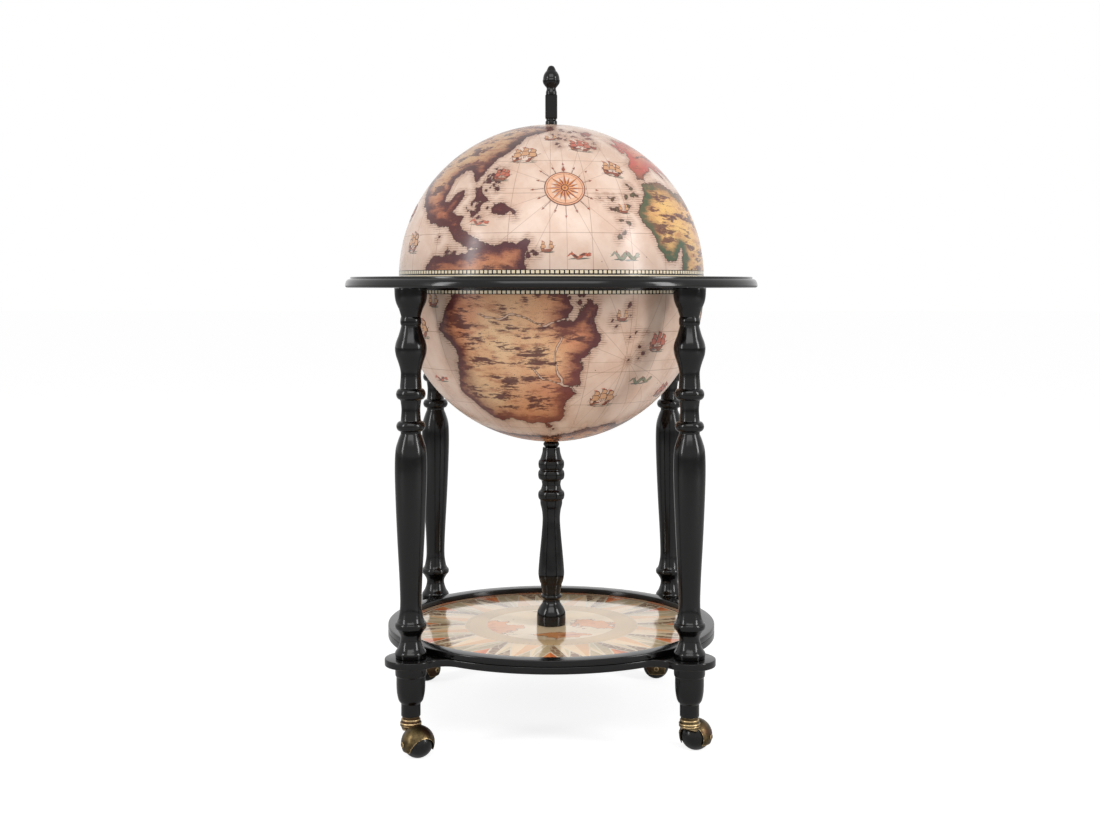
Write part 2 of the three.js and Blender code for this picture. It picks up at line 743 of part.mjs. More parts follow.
function sphereAt(radius) {
  const ball = turn(arc(radius, 0, -Math.PI / 2, Math.PI / 2, roundFacets / 2), roundFacets);
  return ball.translate(casterTrail, 0, ballRadius);
}

function ballGeometry() {
  const hole = axleRadius + pinClearance;
  const edge = Math.acos(hole / ballRadius);
  const outline = arc(ballRadius, 0, -edge, edge, roundFacets / 2);
  return turn(closed([[hole, outline[0][1]], ...outline.slice(1)]), roundFacets);
}

function axleGeometry() {
  const inner = hoodOuterRadius + seam;
  const outer = inner + axleHeadHeight;
  return turn([
    [0, -outer], [axleHeadRadius, -outer], [axleHeadRadius, -inner], [axleRadius, -inner],
    [axleRadius, inner], [axleHeadRadius, inner], [axleHeadRadius, outer], [0, outer],
  ], boltFacets);
}

function stemGeometry() {
  const flangeTop = footBottom - seam;
  const flangeLow = flangeTop - stemFlangeHeight;
  return turn([
    [0, collarTop - stemTail],
    [stemRadius, collarTop - stemTail],
    [stemRadius, flangeLow],
    [stemFlangeRadius, flangeLow],
    [stemFlangeRadius, flangeTop],
    [stemRadius, flangeTop],
    [stemRadius, footBottom + stemDepth],
    [0, footBottom + stemDepth],
  ], boltFacets);
}

// One caster in a group of its own, turned to its heading about the leg's axis.
function makeCaster(corner) {
  const group = new THREE.Group();
  const [x, y] = cornerPlace(corner);
  const stem = piece(`caster_stem_${corner.tag}`, stemGeometry(), finishes.brass);
  const hood = piece(`caster_hood_${corner.tag}`, hoodGeometry(), finishes.brass);
  const ball = piece(`caster_ball_${corner.tag}`, ballGeometry(), finishes.ball);
  const axle = piece(`caster_axle_${corner.tag}`, axleGeometry(), finishes.brass);
  for (const mesh of [ball, axle]) {
    mesh.rotation.x = Math.PI / 2;
    mesh.position.set(casterTrail, 0, ballRadius);
  }
  group.add(stem, hood, ball, axle);
  group.position.set(x, y, 0);
  group.rotation.z = THREE.MathUtils.degToRad(corner.heading);
  object.add(group);
}

makeRing();
makeDome();
makeBowl();
makeRack();
makeBottleFloor();
makeLegs();
makeBoard();
makeTray();
makeColumn();
makeFinial();
makeHinge();
corners.forEach(makeCaster);

export default object;
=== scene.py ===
# Looks of a floor globe bar: lacquered turned wood, printed globe and shelf panel, brass casters.
import json
import math
from collections import namedtuple
from functools import partialmethod

import bmesh
import bpy
import numpy as np
from mathutils import Matrix, Vector


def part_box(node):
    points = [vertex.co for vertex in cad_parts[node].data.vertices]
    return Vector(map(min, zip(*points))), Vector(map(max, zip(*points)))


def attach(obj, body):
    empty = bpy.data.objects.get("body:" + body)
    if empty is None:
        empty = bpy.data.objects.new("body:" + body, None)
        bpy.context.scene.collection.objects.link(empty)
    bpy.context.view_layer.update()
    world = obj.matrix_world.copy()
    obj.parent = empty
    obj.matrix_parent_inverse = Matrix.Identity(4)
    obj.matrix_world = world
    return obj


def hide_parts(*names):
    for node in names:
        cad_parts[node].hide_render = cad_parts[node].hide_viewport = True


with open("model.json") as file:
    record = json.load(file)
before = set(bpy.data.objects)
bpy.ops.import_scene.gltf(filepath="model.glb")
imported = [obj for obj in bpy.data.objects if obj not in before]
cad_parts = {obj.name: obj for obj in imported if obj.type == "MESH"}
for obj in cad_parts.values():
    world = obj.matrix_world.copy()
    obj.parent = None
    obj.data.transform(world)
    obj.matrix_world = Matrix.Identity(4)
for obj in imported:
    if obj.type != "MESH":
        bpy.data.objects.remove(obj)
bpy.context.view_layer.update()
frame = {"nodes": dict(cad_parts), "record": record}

MM = 0.001
TURN = 2 * math.pi
ON_AXIS = 1e-7
TAGS = ("front_left", "front_right", "rear_left", "rear_right")

# The camera, as fitted to the edges in the photo.
IMAGE_WIDTH, IMAGE_HEIGHT = 1100, 824
SENSOR_MM = 36.0
FOCAL_PX = 1452.7
CAMERA_DISTANCE = 2.012
CAMERA_HEIGHT = 593 * MM
CAMERA_YAW = math.radians(0.5)
HORIZON_PX = 284.1
AXIS_LINE_PX = 551.3


def linked(name, data):
    """A new object in the scene."""
    made = bpy.data.objects.new(name, data)
    bpy.context.scene.collection.objects.link(made)
    return made


def polar(radius, angle, center=(0.0, 0.0)):
    return center[0] + radius * math.cos(angle), center[1] + radius * math.sin(angle)


def make_camera():
    """A level camera at the height of the ring, as its edge-on board shows, framed by shift."""
    data = bpy.data.cameras.new("photo_camera")
    camera = linked("photo_camera", data)
    camera.location = (CAMERA_DISTANCE * math.sin(CAMERA_YAW),
                       -CAMERA_DISTANCE * math.cos(CAMERA_YAW), CAMERA_HEIGHT)
    camera.rotation_euler = (math.pi / 2, 0, CAMERA_YAW)
    data.sensor_width = SENSOR_MM
    data.lens = FOCAL_PX * SENSOR_MM / IMAGE_WIDTH
    data.shift_y = -(IMAGE_HEIGHT / 2 - HORIZON_PX) / IMAGE_WIDTH
    data.shift_x = -(AXIS_LINE_PX - IMAGE_WIDTH / 2) / IMAGE_WIDTH
    data.clip_start, data.clip_end = 0.05, 60
    bpy.context.scene.camera = camera


# Shading.
SOCKETS = {"color": "Base Color", "rough": "Roughness", "metal": "Metallic", "coat": "Coat Weight",
           "coat_rough": "Coat Roughness", "specular": "Specular IOR Level"}
MIX_SHARE, MIX_BELOW, MIX_ABOVE, MIX_RESULT = 0, 6, 7, 2
VIEWPORT_GREY = (0.5, 0.5, 0.5, 1)


def linear(red, green, blue):
    """Linear light from a colour written as 0 to 255 screen values."""
    shares = [value / 255 for value in (red, green, blue)]
    light = [v / 12.92 if v <= 0.04045 else ((v + 0.055) / 1.055) ** 2.4 for v in shares]
    return (*light, 1.0)


class Shader:
    """A short way of writing nodes. Tones are sockets, or triples of 0 to 255 screen values."""

    def __init__(self, name, owner=None, **sockets):
        if owner is None:
            owner = bpy.data.materials.new(name)
            owner.diffuse_color = sockets.get("color", VIEWPORT_GREY)
        self.owner = owner
        self.owner.use_nodes = True
        self.tree = self.owner.node_tree
        self.surface = self.tree.nodes.get("Principled BSDF")
        for key, value in sockets.items():
            self.surface.inputs[SOCKETS[key]].default_value = value

    def node(self, kind, inputs=None, **settings):
        made = self.tree.nodes.new("ShaderNode" + kind)
        for key, value in settings.items():
            setattr(made, key, value)
        for key, value in (inputs or {}).items():
            self.feed(made.inputs[key], value)
        return made

    def feed(self, socket, value):
        if isinstance(value, bpy.types.NodeSocket):
            self.tree.links.new(value, socket)
        else:
            socket.default_value = value

    def calc(self, operation, *values):
        return self.node("Math", dict(enumerate(values)), operation=operation).outputs[0]

    add = partialmethod(calc, "ADD")
    less = partialmethod(calc, "SUBTRACT")
    times = partialmethod(calc, "MULTIPLY")
    times_add = partialmethod(calc, "MULTIPLY_ADD")
    size = partialmethod(calc, "ABSOLUTE")
    zigzag = partialmethod(calc, "PINGPONG")
    heading = partialmethod(calc, "ARCTAN2")

    def distance(self, x, y):
        return self.calc("SQRT", self.times_add(x, x, self.times(y, y)))

    def mix(self, share, below, above, blend="MIX"):
        below, above = (linear(*tone) if isinstance(tone, tuple) else tone
                        for tone in (below, above))
        inputs = {MIX_SHARE: share, MIX_BELOW: below, MIX_ABOVE: above}
        return self.node("Mix", inputs, data_type="RGBA", blend_type=blend).outputs[MIX_RESULT]

    def ramp(self, value, low, high, out_low=0.0, out_high=1.0, kind="SMOOTHSTEP"):
        inputs = dict(enumerate((value, low, high, out_low, out_high)))
        return self.node("MapRange", inputs, interpolation_type=kind).outputs[0]

    def between(self, value, low, high, soft):
        """One between two limits and nought outside them, with soft edges."""
        return self.times(self.ramp(value, low - soft, low + soft),
                          self.ramp(value, high - soft, high + soft, 1.0, 0.0))

    def lay(self, below, *layers):
        """Tones laid one over another. A layer is a tone and its share or a ramp's values."""
        for above, *ramped in layers:
            share = self.ramp(*ramped) if len(ramped) > 1 else ramped[0]
            below = self.mix(share, below, above)
        return below

    def attribute(self, name, output="Fac"):
        return self.node("Attribute", attribute_name=name).outputs[output]

    def place(self):
        return self.node("TexCoord").outputs["Object"]

    def stretch(self, vector, *scale):
        return self.node("Mapping", {"Vector": vector, "Scale": scale}).outputs[0]

    def noise(self, scale, detail=4.0, vector=None, rough=0.55):
        inputs = {"Vector": vector or self.place(), "Scale": scale, "Detail": detail,
                  "Roughness": rough}
        return self.node("TexNoise", inputs).outputs[0]

    def finish(self, color, rough, height, bump, depth):
        """The finished material. Roughness is a socket, or a noise and the values at its ends."""
        if isinstance(rough, tuple):
            rough = self.ramp(rough[0], 0.3, 0.7, *rough[1:], "LINEAR")
        relief = self.node("Bump", {"Height": height, "Strength": bump, "Distance": depth})
        normal = relief.outputs[0]
        for name, value in (("Base Color", color), ("Roughness", rough), ("Normal", normal)):
            self.feed(self.surface.inputs[name], value)
        return self.owner


def lacquer_material():
    """Black satin lacquer: faint orange peel, uneven sheen, edges rubbed a little lighter."""
    sh = Shader("black_lacquer", specular=0.3)
    rubbed = sh.times(sh.attribute("edge"), sh.noise(160.0, 3.0))
    color = sh.lay((6, 5, 5), ((12, 10, 9), sh.noise(22.0, 5.0)),
                   ((44, 39, 34), rubbed, 0.25, 0.75))
    return sh.finish(color, (sh.noise(60.0), 0.11, 0.2), sh.noise(650.0, 2.0), 0.1, 0.00015)


def ball_material():
    """Moulded black plastic with light scuffs."""
    sh = Shader("ball_plastic", specular=0.3)
    scuffs = sh.noise(420.0, 3.0, sh.stretch(sh.place(), 1, 1, 0.15))
    color = sh.lay((11, 11, 11), ((30, 29, 28), scuffs, 0.6, 0.75))
    return sh.finish(color, (sh.noise(110.0), 0.12, 0.24), scuffs, 0.05, 0.0001)


def brass_material():
    """Antique brass: dark patina in the hollows, rubbed bright on the edges."""
    sh = Shader("antique_brass", metal=0.9)
    patina = sh.noise(95.0, 6.0, rough=0.65)
    color = sh.lay((58, 48, 30), ((104, 88, 58), patina, 0.35, 0.7),
                   ((74, 50, 36), sh.noise(30.0, 3.0), 0.46, 0.7),
                   ((176, 152, 112), sh.attribute("edge"), 0.3, 0.9))
    return sh.finish(color, sh.ramp(patina, 0.3, 0.75, 0.44, 0.3, "LINEAR"), patina, 0.15, 0.0002)


def steel_material():
    """Zinc-plated steel with fine brushing."""
    sh = Shader("plated_steel", metal=0.95)
    brushed = sh.noise(500.0, 2.0, sh.stretch(sh.place(), 1, 1, 0.05))
    color = sh.lay((150, 150, 152), ((186, 186, 184), brushed))
    return sh.finish(color, (brushed, 0.28, 0.42), brushed, 0.08, 0.0001)


def stained_wood_material():
    """Stained board of the bottle rack, with a fine straight grain."""
    sh = Shader("stained_wood", coat=0.15, coat_rough=0.2)
    along = sh.stretch(sh.place(), 2.2, 30.0, 30.0)
    grain = sh.noise(9.0, 7.0, along, 0.65)
    color = sh.lay((64, 34, 20), ((112, 66, 38), grain, 0.3, 0.7),
                   ((40, 22, 14), sh.noise(60.0, 3.0, along), 0.62, 0.7))
    return sh.finish(color, (grain, 0.34, 0.46), grain, 0.15, 0.0003)


def lining_material():
    """Cream paper inside the globe, mottled and stained."""
    sh = Shader("paper_lining", coat=0.1)
    stains = sh.noise(45.0, 5.0, rough=0.7)
    color = sh.lay((206, 178, 138), ((226, 204, 170), sh.noise(14.0, 6.0)),
                   ((176, 138, 96), stains, 0.58, 0.8))
    return sh.finish(color, (stains, 0.4, 0.55), sh.noise(300.0), 0.08, 0.0002)


def figure_material():
    """Printed ink under varnish: the mesh's own colours, aged with foxing and speckle."""
    sh = Shader("map_figures", coat=0.12, coat_rough=0.05)
    fade = sh.noise(38.0, 6.0, rough=0.7)
    color = sh.lay(sh.attribute("ink", "Color"), ((196, 160, 122), fade, 0.35, 0.8, 0.0, 0.2),
                   ((92, 66, 48), sh.noise(420.0, 3.0), 0.62, 0.72, 0.0, 0.35))
    return sh.finish(color, (fade, 0.2, 0.3), fade, 0.03, 0.0001)


OCEAN_LIGHT, OCEAN_DEEP, FOXING = (230, 205, 188), (216, 184, 164), (196, 150, 120)
INK, STROKE_DARK, STROKE_RED = (70, 42, 38), (88, 52, 52), (164, 100, 74)
BAND_CREAM, BAND_BLACK = (240, 224, 194), (26, 20, 17)
# For the upper half and the lower: the compass point, and degrees of the band and its dashes.
ROSE_PLACES = {True: (6.0, 32.0), False: (32.0, -26.0)}
BAND_DEGREES = {True: (0.42, 0.95, 2.0, 2.25), False: (-1.0, 0.3, 1.35, 1.6)}
DASH_DEG = 360 / 216
GRID_DEG = 7.5


def map_material(name, upper):
    """Glossy antique map, painted from each point's longitude, latitude and distance to a coast."""
    sh = Shader(name, coat=0.08, coat_rough=0.16, specular=0.3)
    lon, lat, river = (sh.attribute(field) for field in ("lon", "lat", "river"))
    across = sh.node("CombineXYZ", {"X": lon, "Y": lat}).outputs[0]
    frayed = sh.less(sh.noise(0.55, 6.0, across, 0.68), 0.5)
    land = sh.times_add(frayed, 3.4, sh.attribute("land"))
    foxing = sh.noise(0.8, 5.0, across, 0.7)
    color = sh.lay(sea_color(sh, across, land, frayed, foxing, lon, lat, upper),
                   (ground_color(sh, across, land), land, -0.1, 0.1),
                   (INK, sh.size(land), 0.06, 0.32, 0.85, 0.0), (INK, river, 0.3, 0.48, 0.75, 0.0),
                   (OCEAN_DEEP, river, 0.16, 0.3, 1.0, 0.0))
    # Painted shade: the whole print of the lower half is darkened a little, as the globe's
    # underside lies in shade.
    if not upper:
        color = sh.mix(0.2, color, (232, 208, 180), "MULTIPLY")
    color = scale_band(sh, color, lon, sh.size(lat), upper)
    return sh.finish(color, (sh.noise(0.09, 5.0, across), 0.2, 0.3), foxing, 0.04, 0.0001)


def sea_color(sh, across, land, frayed, foxing, lon, lat, upper):
    """Aged paper: a ruled grid, rays from a compass point, hatching along coasts, and specks."""
    east, north = ROSE_PLACES[upper]
    dx = sh.times(sh.less(lon, east), math.cos(math.radians(north)))
    dy = sh.less(lat, north)
    away = sh.distance(dx, dy)
    off_ray = sh.times(sh.zigzag(sh.heading(dy, dx), math.pi / 16), away)
    ray = sh.times(sh.ramp(off_ray, 0.04, 0.14, 0.45, 0.0), sh.ramp(away, 34.0, 42.0, 1.0, 0.0))
    hatch = sh.ramp(sh.zigzag(sh.add(lat, frayed), 0.4), 0.08, 0.2, 1.0, 0.0)
    hatch = sh.times(hatch, sh.ramp(land, -2.6, -0.3, 0.0, 0.75))
    grid = [((142, 100, 80), sh.zigzag(value, GRID_DEG), 0.05, 0.17, 0.6, 0.0)
            for value in (lon, lat)]
    return sh.lay(OCEAN_LIGHT, (OCEAN_DEEP, sh.noise(0.09, 5.0, across), 0.35, 0.68),
                  (FOXING, foxing, 0.55, 0.85, 0.0, 0.45), *grid, ((150, 108, 86), ray),
                  ((140, 98, 84), hatch), ((170, 128, 104), land, -3.2, -0.2, 0.0, 0.3),
                  ((96, 62, 52), specks(sh, across, 0.16, 0.05, 0.72)))


def specks(sh, across, scale, size, rarity):
    """Small round dots strewn over the map, one in some of the cells."""
    cells = sh.node("TexVoronoi", {"Vector": across, "Scale": scale}, feature="F1").outputs
    chosen = sh.node("SeparateColor", {"Color": cells["Color"]}).outputs[0]
    return sh.times(sh.ramp(cells["Distance"], size * 0.6, size, 0.9, 0.0),
                    sh.ramp(chosen, rarity, rarity + 0.02))


def ground_color(sh, across, land):
    """Land: washes, ranges as east-west strokes, hills, towns and a dark broken coast wash."""
    patch = sh.noise(0.11, 4.0, across)
    broad = sh.noise(0.36, 6.0, sh.stretch(across, 0.36, 1.2, 1.0), 0.6)
    fine = sh.noise(0.95, 8.0, sh.stretch(across, 0.3, 1.3, 1.0), 0.68)
    where = sh.noise(0.15, 5.0, sh.stretch(across, 0.5, 1.7, 1.0), 0.55)
    ranges = sh.times_add(sh.less(fine, 0.5), 0.62, where)
    hills = sh.noise(3.4, 3.0, sh.stretch(across, 1.0, 0.7, 1.0))
    wash = sh.times_add(sh.less(broad, 0.5), 9.0, land)
    wash = sh.times_add(sh.less(hills, 0.5), 2.0, wash)
    rim = sh.attribute("rim", "Color")
    return sh.lay(sh.attribute("tint", "Color"), ((206, 146, 104), patch, 0.4, 0.68, 0.0, 0.42),
                  (STROKE_RED, broad, 0.5, 0.64, 0.0, 0.6),
                  (STROKE_DARK, ranges, 0.51, 0.6, 0.0, 0.92),
                  ((112, 64, 50), hills, 0.57, 0.68, 0.0, 0.6),
                  (INK, specks(sh, across, 0.42, 0.1, 0.5)),
                  (sh.mix(0.5, rim, (176, 104, 76)), wash, 2.0, 7.0, 0.7, 0.0),
                  (rim, wash, 1.2, 4.2, 0.97, 0.0))


def scale_band(sh, color, lon, rise, upper):
    """The ruled black band with a row of cream dashes along the edge of a hemisphere."""
    low, dash_low, dash_high, high = BAND_DEGREES[upper]
    dash = sh.ramp(sh.zigzag(lon, DASH_DEG / 2), DASH_DEG * 0.13, DASH_DEG * 0.17)
    return sh.lay(color, (BAND_CREAM, rise, low - 0.04, low + 0.04, 1.0, 0.0),
                  (BAND_BLACK, sh.between(rise, low, high, 0.04)),
                  (BAND_CREAM, sh.times(dash, sh.between(rise, dash_low, dash_high, 0.05))))


# Stars of the shelf panel: points, turn, root and tip radius, half width, light and dark half.
SHELF_STARS = (
    (12, 0.0, 196.0, 152.0, 16.0, (244, 150, 88), (228, 122, 68)),
    (24, math.pi / 24, 120.0, 186.0, 10.0, (252, 224, 182), (226, 206, 164)),
    (12, math.pi / 12, 120.0, 193.0, 21.0, (255, 222, 178), (246, 194, 140)),
)
# Ruled circles of the shelf panel: radius, width, tone.
SHELF_RULES = ((192.5, 1.3, (238, 218, 186)), (195.0, 1.1, (66, 52, 42)))


def shelf_print_material():
    """Printed shelf panel: rays and triangles round a map disc, pastel with age, varnished."""
    sh = Shader("shelf_print", coat=0.5, coat_rough=0.06, specular=0.3)
    place = sh.node("SeparateXYZ", {"Vector": sh.place()}).outputs
    x, y = sh.times(place[0], 1 / MM), sh.times(place[1], 1 / MM)
    radius, angle = sh.distance(x, y), sh.heading(y, x)
    mottled = sh.noise(26.0, 6.0, rough=0.7)

    panels = sh.zigzag(sh.add(angle, math.pi / 24), math.pi / 12)
    scroll = sh.node("TexVoronoi", {"Vector": sh.place(), "Scale": 78.0},
                     feature="DISTANCE_TO_EDGE")
    color = sh.lay((206, 184, 144), ((156, 122, 92), panels, 0.12, 0.14),
                   ((222, 200, 166), scroll.outputs["Distance"], 0.03, 0.1, 0.7, 0.0))
    for row in SHELF_STARS:
        color = star(sh, color, radius, angle, *row)
    rules = [(tone, sh.size(sh.less(radius, at)), wide * 0.7, wide, 1.0, 0.0)
             for at, wide, tone in SHELF_RULES]
    band = sh.lay((232, 158, 116), ((222, 184, 146), sh.zigzag(angle, math.pi / 18), 0.08, 0.09))
    tick = sh.ramp(sh.zigzag(angle, math.pi / 90), 0.005, 0.009, 0.4, 0.0)
    ring = sh.lay((228, 194, 144), ((160, 128, 86), sh.times(tick, sh.ramp(radius, 112.0, 113.0))))

    coast = sh.times_add(sh.size(sh.add(y, 60.0)), 2.6, sh.size(sh.less(x, 8.0)))
    land = sh.add(sh.noise(11.0, 7.0, rough=0.62), sh.ramp(coast, 10.0, 80.0, 0.2, 0.0))
    shore = sh.size(sh.less(land, 0.505))
    disc = sh.lay((255, 228, 186), ((244, 168, 104), land, 0.5, 0.515),
                  ((190, 96, 48), land, 0.57, 0.66, 0.0, 0.8),
                  ((120, 72, 48), shore, 0.004, 0.01, 0.7, 0.0))
    color = sh.lay(color, *rules, (band, radius, 195.6, 196.4),
                   ((226, 204, 166), radius, 119.2, 120.0, 1.0, 0.0),
                   (ring, radius, 117.6, 118.4, 1.0, 0.0), (disc, radius, 88.2, 89.4, 1.0, 0.0),
                   ((196, 158, 122), mottled, 0.5, 0.85, 0.0, 0.3))
    return sh.finish(color, (mottled, 0.08, 0.16), mottled, 0.03, 0.0001)


def star(sh, color, radius, angle, points, turn, root, tip, half_width, light, dark):
    """Star points from a root circle to their tips, outwards or inwards, each in two halves."""
    angle = sh.add(angle, turn)
    off_axis = sh.times(sh.zigzag(angle, math.pi / points), radius)
    if tip > root:
        edge = sh.ramp(radius, root, tip, half_width, 0.0, "LINEAR")
        within = sh.ramp(radius, tip - 1.0, tip, 1.0, 0.0)
    else:
        edge = sh.ramp(radius, tip, root, 0.0, half_width, "LINEAR")
        within = sh.ramp(radius, tip, tip + 1.0)
    inside_by = sh.less(edge, off_axis)
    halves = sh.lay(light, (dark, sh.calc("SINE", sh.times(angle, points)), -0.02, 0.02))
    line = sh.ramp(sh.size(inside_by), 0.9, 1.4, 1.0, 0.0)
    return sh.lay(color, (halves, sh.times(sh.ramp(inside_by, -0.3, 0.3), within)),
                  ((238, 222, 192), sh.times(line, within)))


# Mesh helpers. Lengths are metres. A look is a material and its slot.
def new_mesh(name, points, faces):
    mesh = bpy.data.meshes.new(name)
    mesh.from_pydata([tuple(p) for p in points], [], [tuple(f) for f in faces])
    mesh.validate()
    return mesh


def dressed(name, mesh, look, body, sharp_deg=35.0):
    """The mesh as a finished piece that rides a body."""
    material, slot = look
    mesh.shade_smooth()
    mesh.set_sharp_from_angle(angle=math.radians(sharp_deg))
    mesh.materials.clear()
    mesh.materials.append(material)
    piece = linked(name, mesh)
    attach(piece, body)
    return piece


def set_values(piece, name, values):
    """A number or a colour for each point, which materials read by name."""
    values = np.asarray(values, np.float32)
    kind, field = ("FLOAT", "value") if values.ndim == 1 else ("FLOAT_COLOR", "color")
    piece.data.attributes.new(name, kind, "POINT").data.foreach_set(field, values.ravel())


def smooth(points, steps):
    """Catmull-Rom points through a few [radius share, height share] points."""
    made, last = [], len(points) - 1
    for i in range(steps + 1):
        n = min(int(last * i / steps), last - 1)
        near = [points[max(0, min(last, n + k))] for k in (-1, 0, 1, 2)]
        made.append([_catmull(last * i / steps - n, *[p[axis] for p in near]) for axis in (0, 1)])
    return made


def _catmull(t, a, b, c, d):
    v0, v1 = (c - a) * 0.5, (d - b) * 0.5
    return (2 * b - 2 * c + v0 + v1) * t ** 3 + (-3 * b + 3 * c - 2 * v0 - v1) * t ** 2 + v0 * t + b


def bead(neck, crown, low, high, steps=12):
    """A half-round moulding."""
    angles = [math.pi * i / steps for i in range(steps + 1)]
    return [[neck + (crown - neck) * math.sin(a), (low + high) / 2 - (high - low) / 2 * math.cos(a)]
            for a in angles]


def softened(outline, radius, closed=False, least_deg=24.0):
    """The outline with each sharp corner off its ends rounded by a small curve."""
    made = []
    count = len(outline)
    for i, here in enumerate(outline):
        if not closed and i in (0, count - 1):
            made.append(here)
            continue
        before, after = outline[i - 1], outline[(i + 1) % count]
        a = Vector((before[0] - here[0], before[1] - here[1]))
        b = Vector((after[0] - here[0], after[1] - here[1]))
        if a.length < 1e-9 or b.length < 1e-9 or math.degrees(math.pi - a.angle(b)) < least_deg:
            made.append(here)
            continue
        reach = min(radius, a.length * 0.45, b.length * 0.45)
        start, end = Vector(here) + a.normalized() * reach, Vector(here) + b.normalized() * reach
        for t in (0.0, 0.33, 0.67, 1.0):
            made.append(tuple((1 - t) ** 2 * start + 2 * t * (1 - t) * Vector(here) + t * t * end))
    return made


def block(inner, outer, low, high):
    """Outline of a plain ring or disc."""
    return [(inner, low), (outer, low), (outer, high), (inner, high)]


def edge_shares(outline, closed):
    """How convex the outline is at each point, for wear along edges."""
    made = []
    last = len(outline) - 1
    for i, here in enumerate(outline):
        before = outline[i - 1] if closed or i else here
        after = outline[0 if i == last else i + 1] if closed or i < last else here
        turn = ((here[0] - before[0]) * (after[1] - here[1])
                - (here[1] - before[1]) * (after[0] - here[0]))
        size = math.dist(before, here) * math.dist(here, after)
        made.append(max(0.0, min(1.0, turn / size)) if size > 1e-12 else 0.0)
    return made


def lathe(outline, segments, closed=False):
    """Points, faces and rings of an outline of (radius, height) points turned about the Z axis."""
    points, rings, faces = [], [], []
    for radius, height in outline:
        if radius < ON_AXIS:
            rings.append([len(points)] * segments)
            points.append((0.0, 0.0, height))
            continue
        rings.append(range(len(points), len(points) + segments))
        points += [(*polar(radius, TURN * k / segments), height) for k in range(segments)]
    for low, high in zip(rings, rings[1:] + rings[:1] if closed else rings[1:]):
        for k in range(segments):
            n = (k + 1) % segments
            corners = list(dict.fromkeys([low[k], low[n], high[n], high[k]]))
            if len(corners) > 2:
                faces.append(corners)
    return points, faces, rings


def turned(name, outline, look, body, center=(0.0, 0.0), segments=96, closed=False):
    """A turned piece about an upright axis, its outline going round anticlockwise."""
    points, faces, rings = lathe(outline, segments, closed)
    points = [(center[0] + x, center[1] + y, z) for x, y, z in points]
    piece = dressed(name, new_mesh(name, points, faces), look, body)
    shares = edge_shares(outline, closed)
    set_values(piece, "edge", [share for share, ring in zip(shares, rings) for _ in set(ring)])
    return piece


def stack(sections):
    """Points and faces of a solid through sections of equal length, from the bottom up."""
    count = len(sections[0])
    points = [point for section in sections for point in section]
    faces = [tuple(reversed(range(count)))]
    for base in range(0, len(points) - count, count):
        for k in range(count):
            m = (k + 1) % count
            faces.append((base + k, base + m, base + count + m, base + count + k))
    faces.append(tuple(range(len(points) - count, len(points))))
    return points, faces


def scaled(shares, radius, low, height):
    return [(r * radius, low + z * height) for r, z in shares]


def node_size(node):
    low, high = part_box(node)
    return low, high, high - low


# Turned profiles, as (radius share, height share) of each piece.
LEG_SHARES = (
    [[0.95, 0], [0.98, 0.014]]
    + smooth([[0.93, 0.018], [0.78, 0.028], [0.65, 0.046], [0.66, 0.06], [0.84, 0.074]], 16)
    + bead(0.88, 0.99, 0.077, 0.096)
    + smooth([[0.78, 0.105], [0.67, 0.14], [0.71, 0.21], [0.845, 0.32], [0.955, 0.43],
              [1, 0.51], [0.955, 0.56], [0.8, 0.587], [0.63, 0.606]], 48)
    + bead(0.64, 0.9, 0.612, 0.64)
    + smooth([[0.62, 0.645], [0.585, 0.672], [0.64, 0.694]], 8)
    + bead(0.68, 0.915, 0.698, 0.728)
    + smooth([[0.67, 0.736], [0.635, 0.76], [0.65, 0.777], [0.77, 0.797], [0.93, 0.818],
              [0.985, 0.837], [0.93, 0.853], [0.76, 0.873], [0.63, 0.893]], 40)
    + bead(0.6, 0.66, 0.899, 0.922, 8)
    + smooth([[0.63, 0.927], [0.74, 0.943], [0.79, 0.947]], 8)
    + smooth([[0.8, 0.948], [0.93, 0.962], [1, 0.978], [1.03, 1]], 12)
)
FOOT_SHARES = (
    [[0.62, 0], [0.62, 0.24]]
    + smooth([[0.64, 0.25], [0.79, 0.32], [0.885, 0.45], [0.92, 0.6], [0.92, 0.78]], 20)
    + [[0.985, 0.8], [1, 0.85], [1, 1]]
)
COLUMN_SHARES = (
    [[1, 0], [1, 0.05]]
    + smooth([[0.99, 0.06], [0.95, 0.075], [0.8, 0.1], [0.62, 0.122], [0.585, 0.137]], 16)
    + bead(0.62, 0.73, 0.146, 0.17, 8)
    + smooth([[0.63, 0.181], [0.7, 0.21], [0.73, 0.228]], 6)
    + smooth([[0.8, 0.24], [0.88, 0.268], [0.9, 0.3], [0.82, 0.385], [0.69, 0.496], [0.61, 0.587],
              [0.65, 0.64], [0.75, 0.675], [0.77, 0.697]], 36)
    + bead(0.8, 0.92, 0.705, 0.755)
    + smooth([[0.72, 0.763], [0.64, 0.789], [0.7, 0.813]], 8)
    + bead(0.8, 0.92, 0.818, 0.872)
    + bead(0.79, 0.9, 0.878, 0.93)
    + smooth([[0.74, 0.94], [0.63, 0.97], [0.59, 1]], 8)
)
ACORN_SHARES = (
    [[0.6, 0.49], [0.63, 0.505], [0.63, 0.55]]
    + smooth([[0.6, 0.565], [0.54, 0.6], [0.56, 0.625], [0.75, 0.66], [0.93, 0.7], [1, 0.745]], 16)
    + smooth([[0.95, 0.765], [0.93, 0.8], [0.83, 0.85], [0.66, 0.892]], 12)
    + smooth([[0.56, 0.905], [0.45, 0.945], [0.28, 0.985], [0, 1]], 10)
)
FINIAL_COLLAR_SHARES = [[0.67, 0], [0.67, 0.06], [0.58, 0.075], [0.58, 0.12]]
BOSS_SHARES = [[0.8, 0], [1, 0.35], [1, 0.7], [0.75, 1]]


WOOD_SOFT, BOSS_SOFT, ACORN_SOFT, COLLAR_SOFT = 0.6 * MM, 1.2 * MM, 0.4 * MM, 0.5 * MM


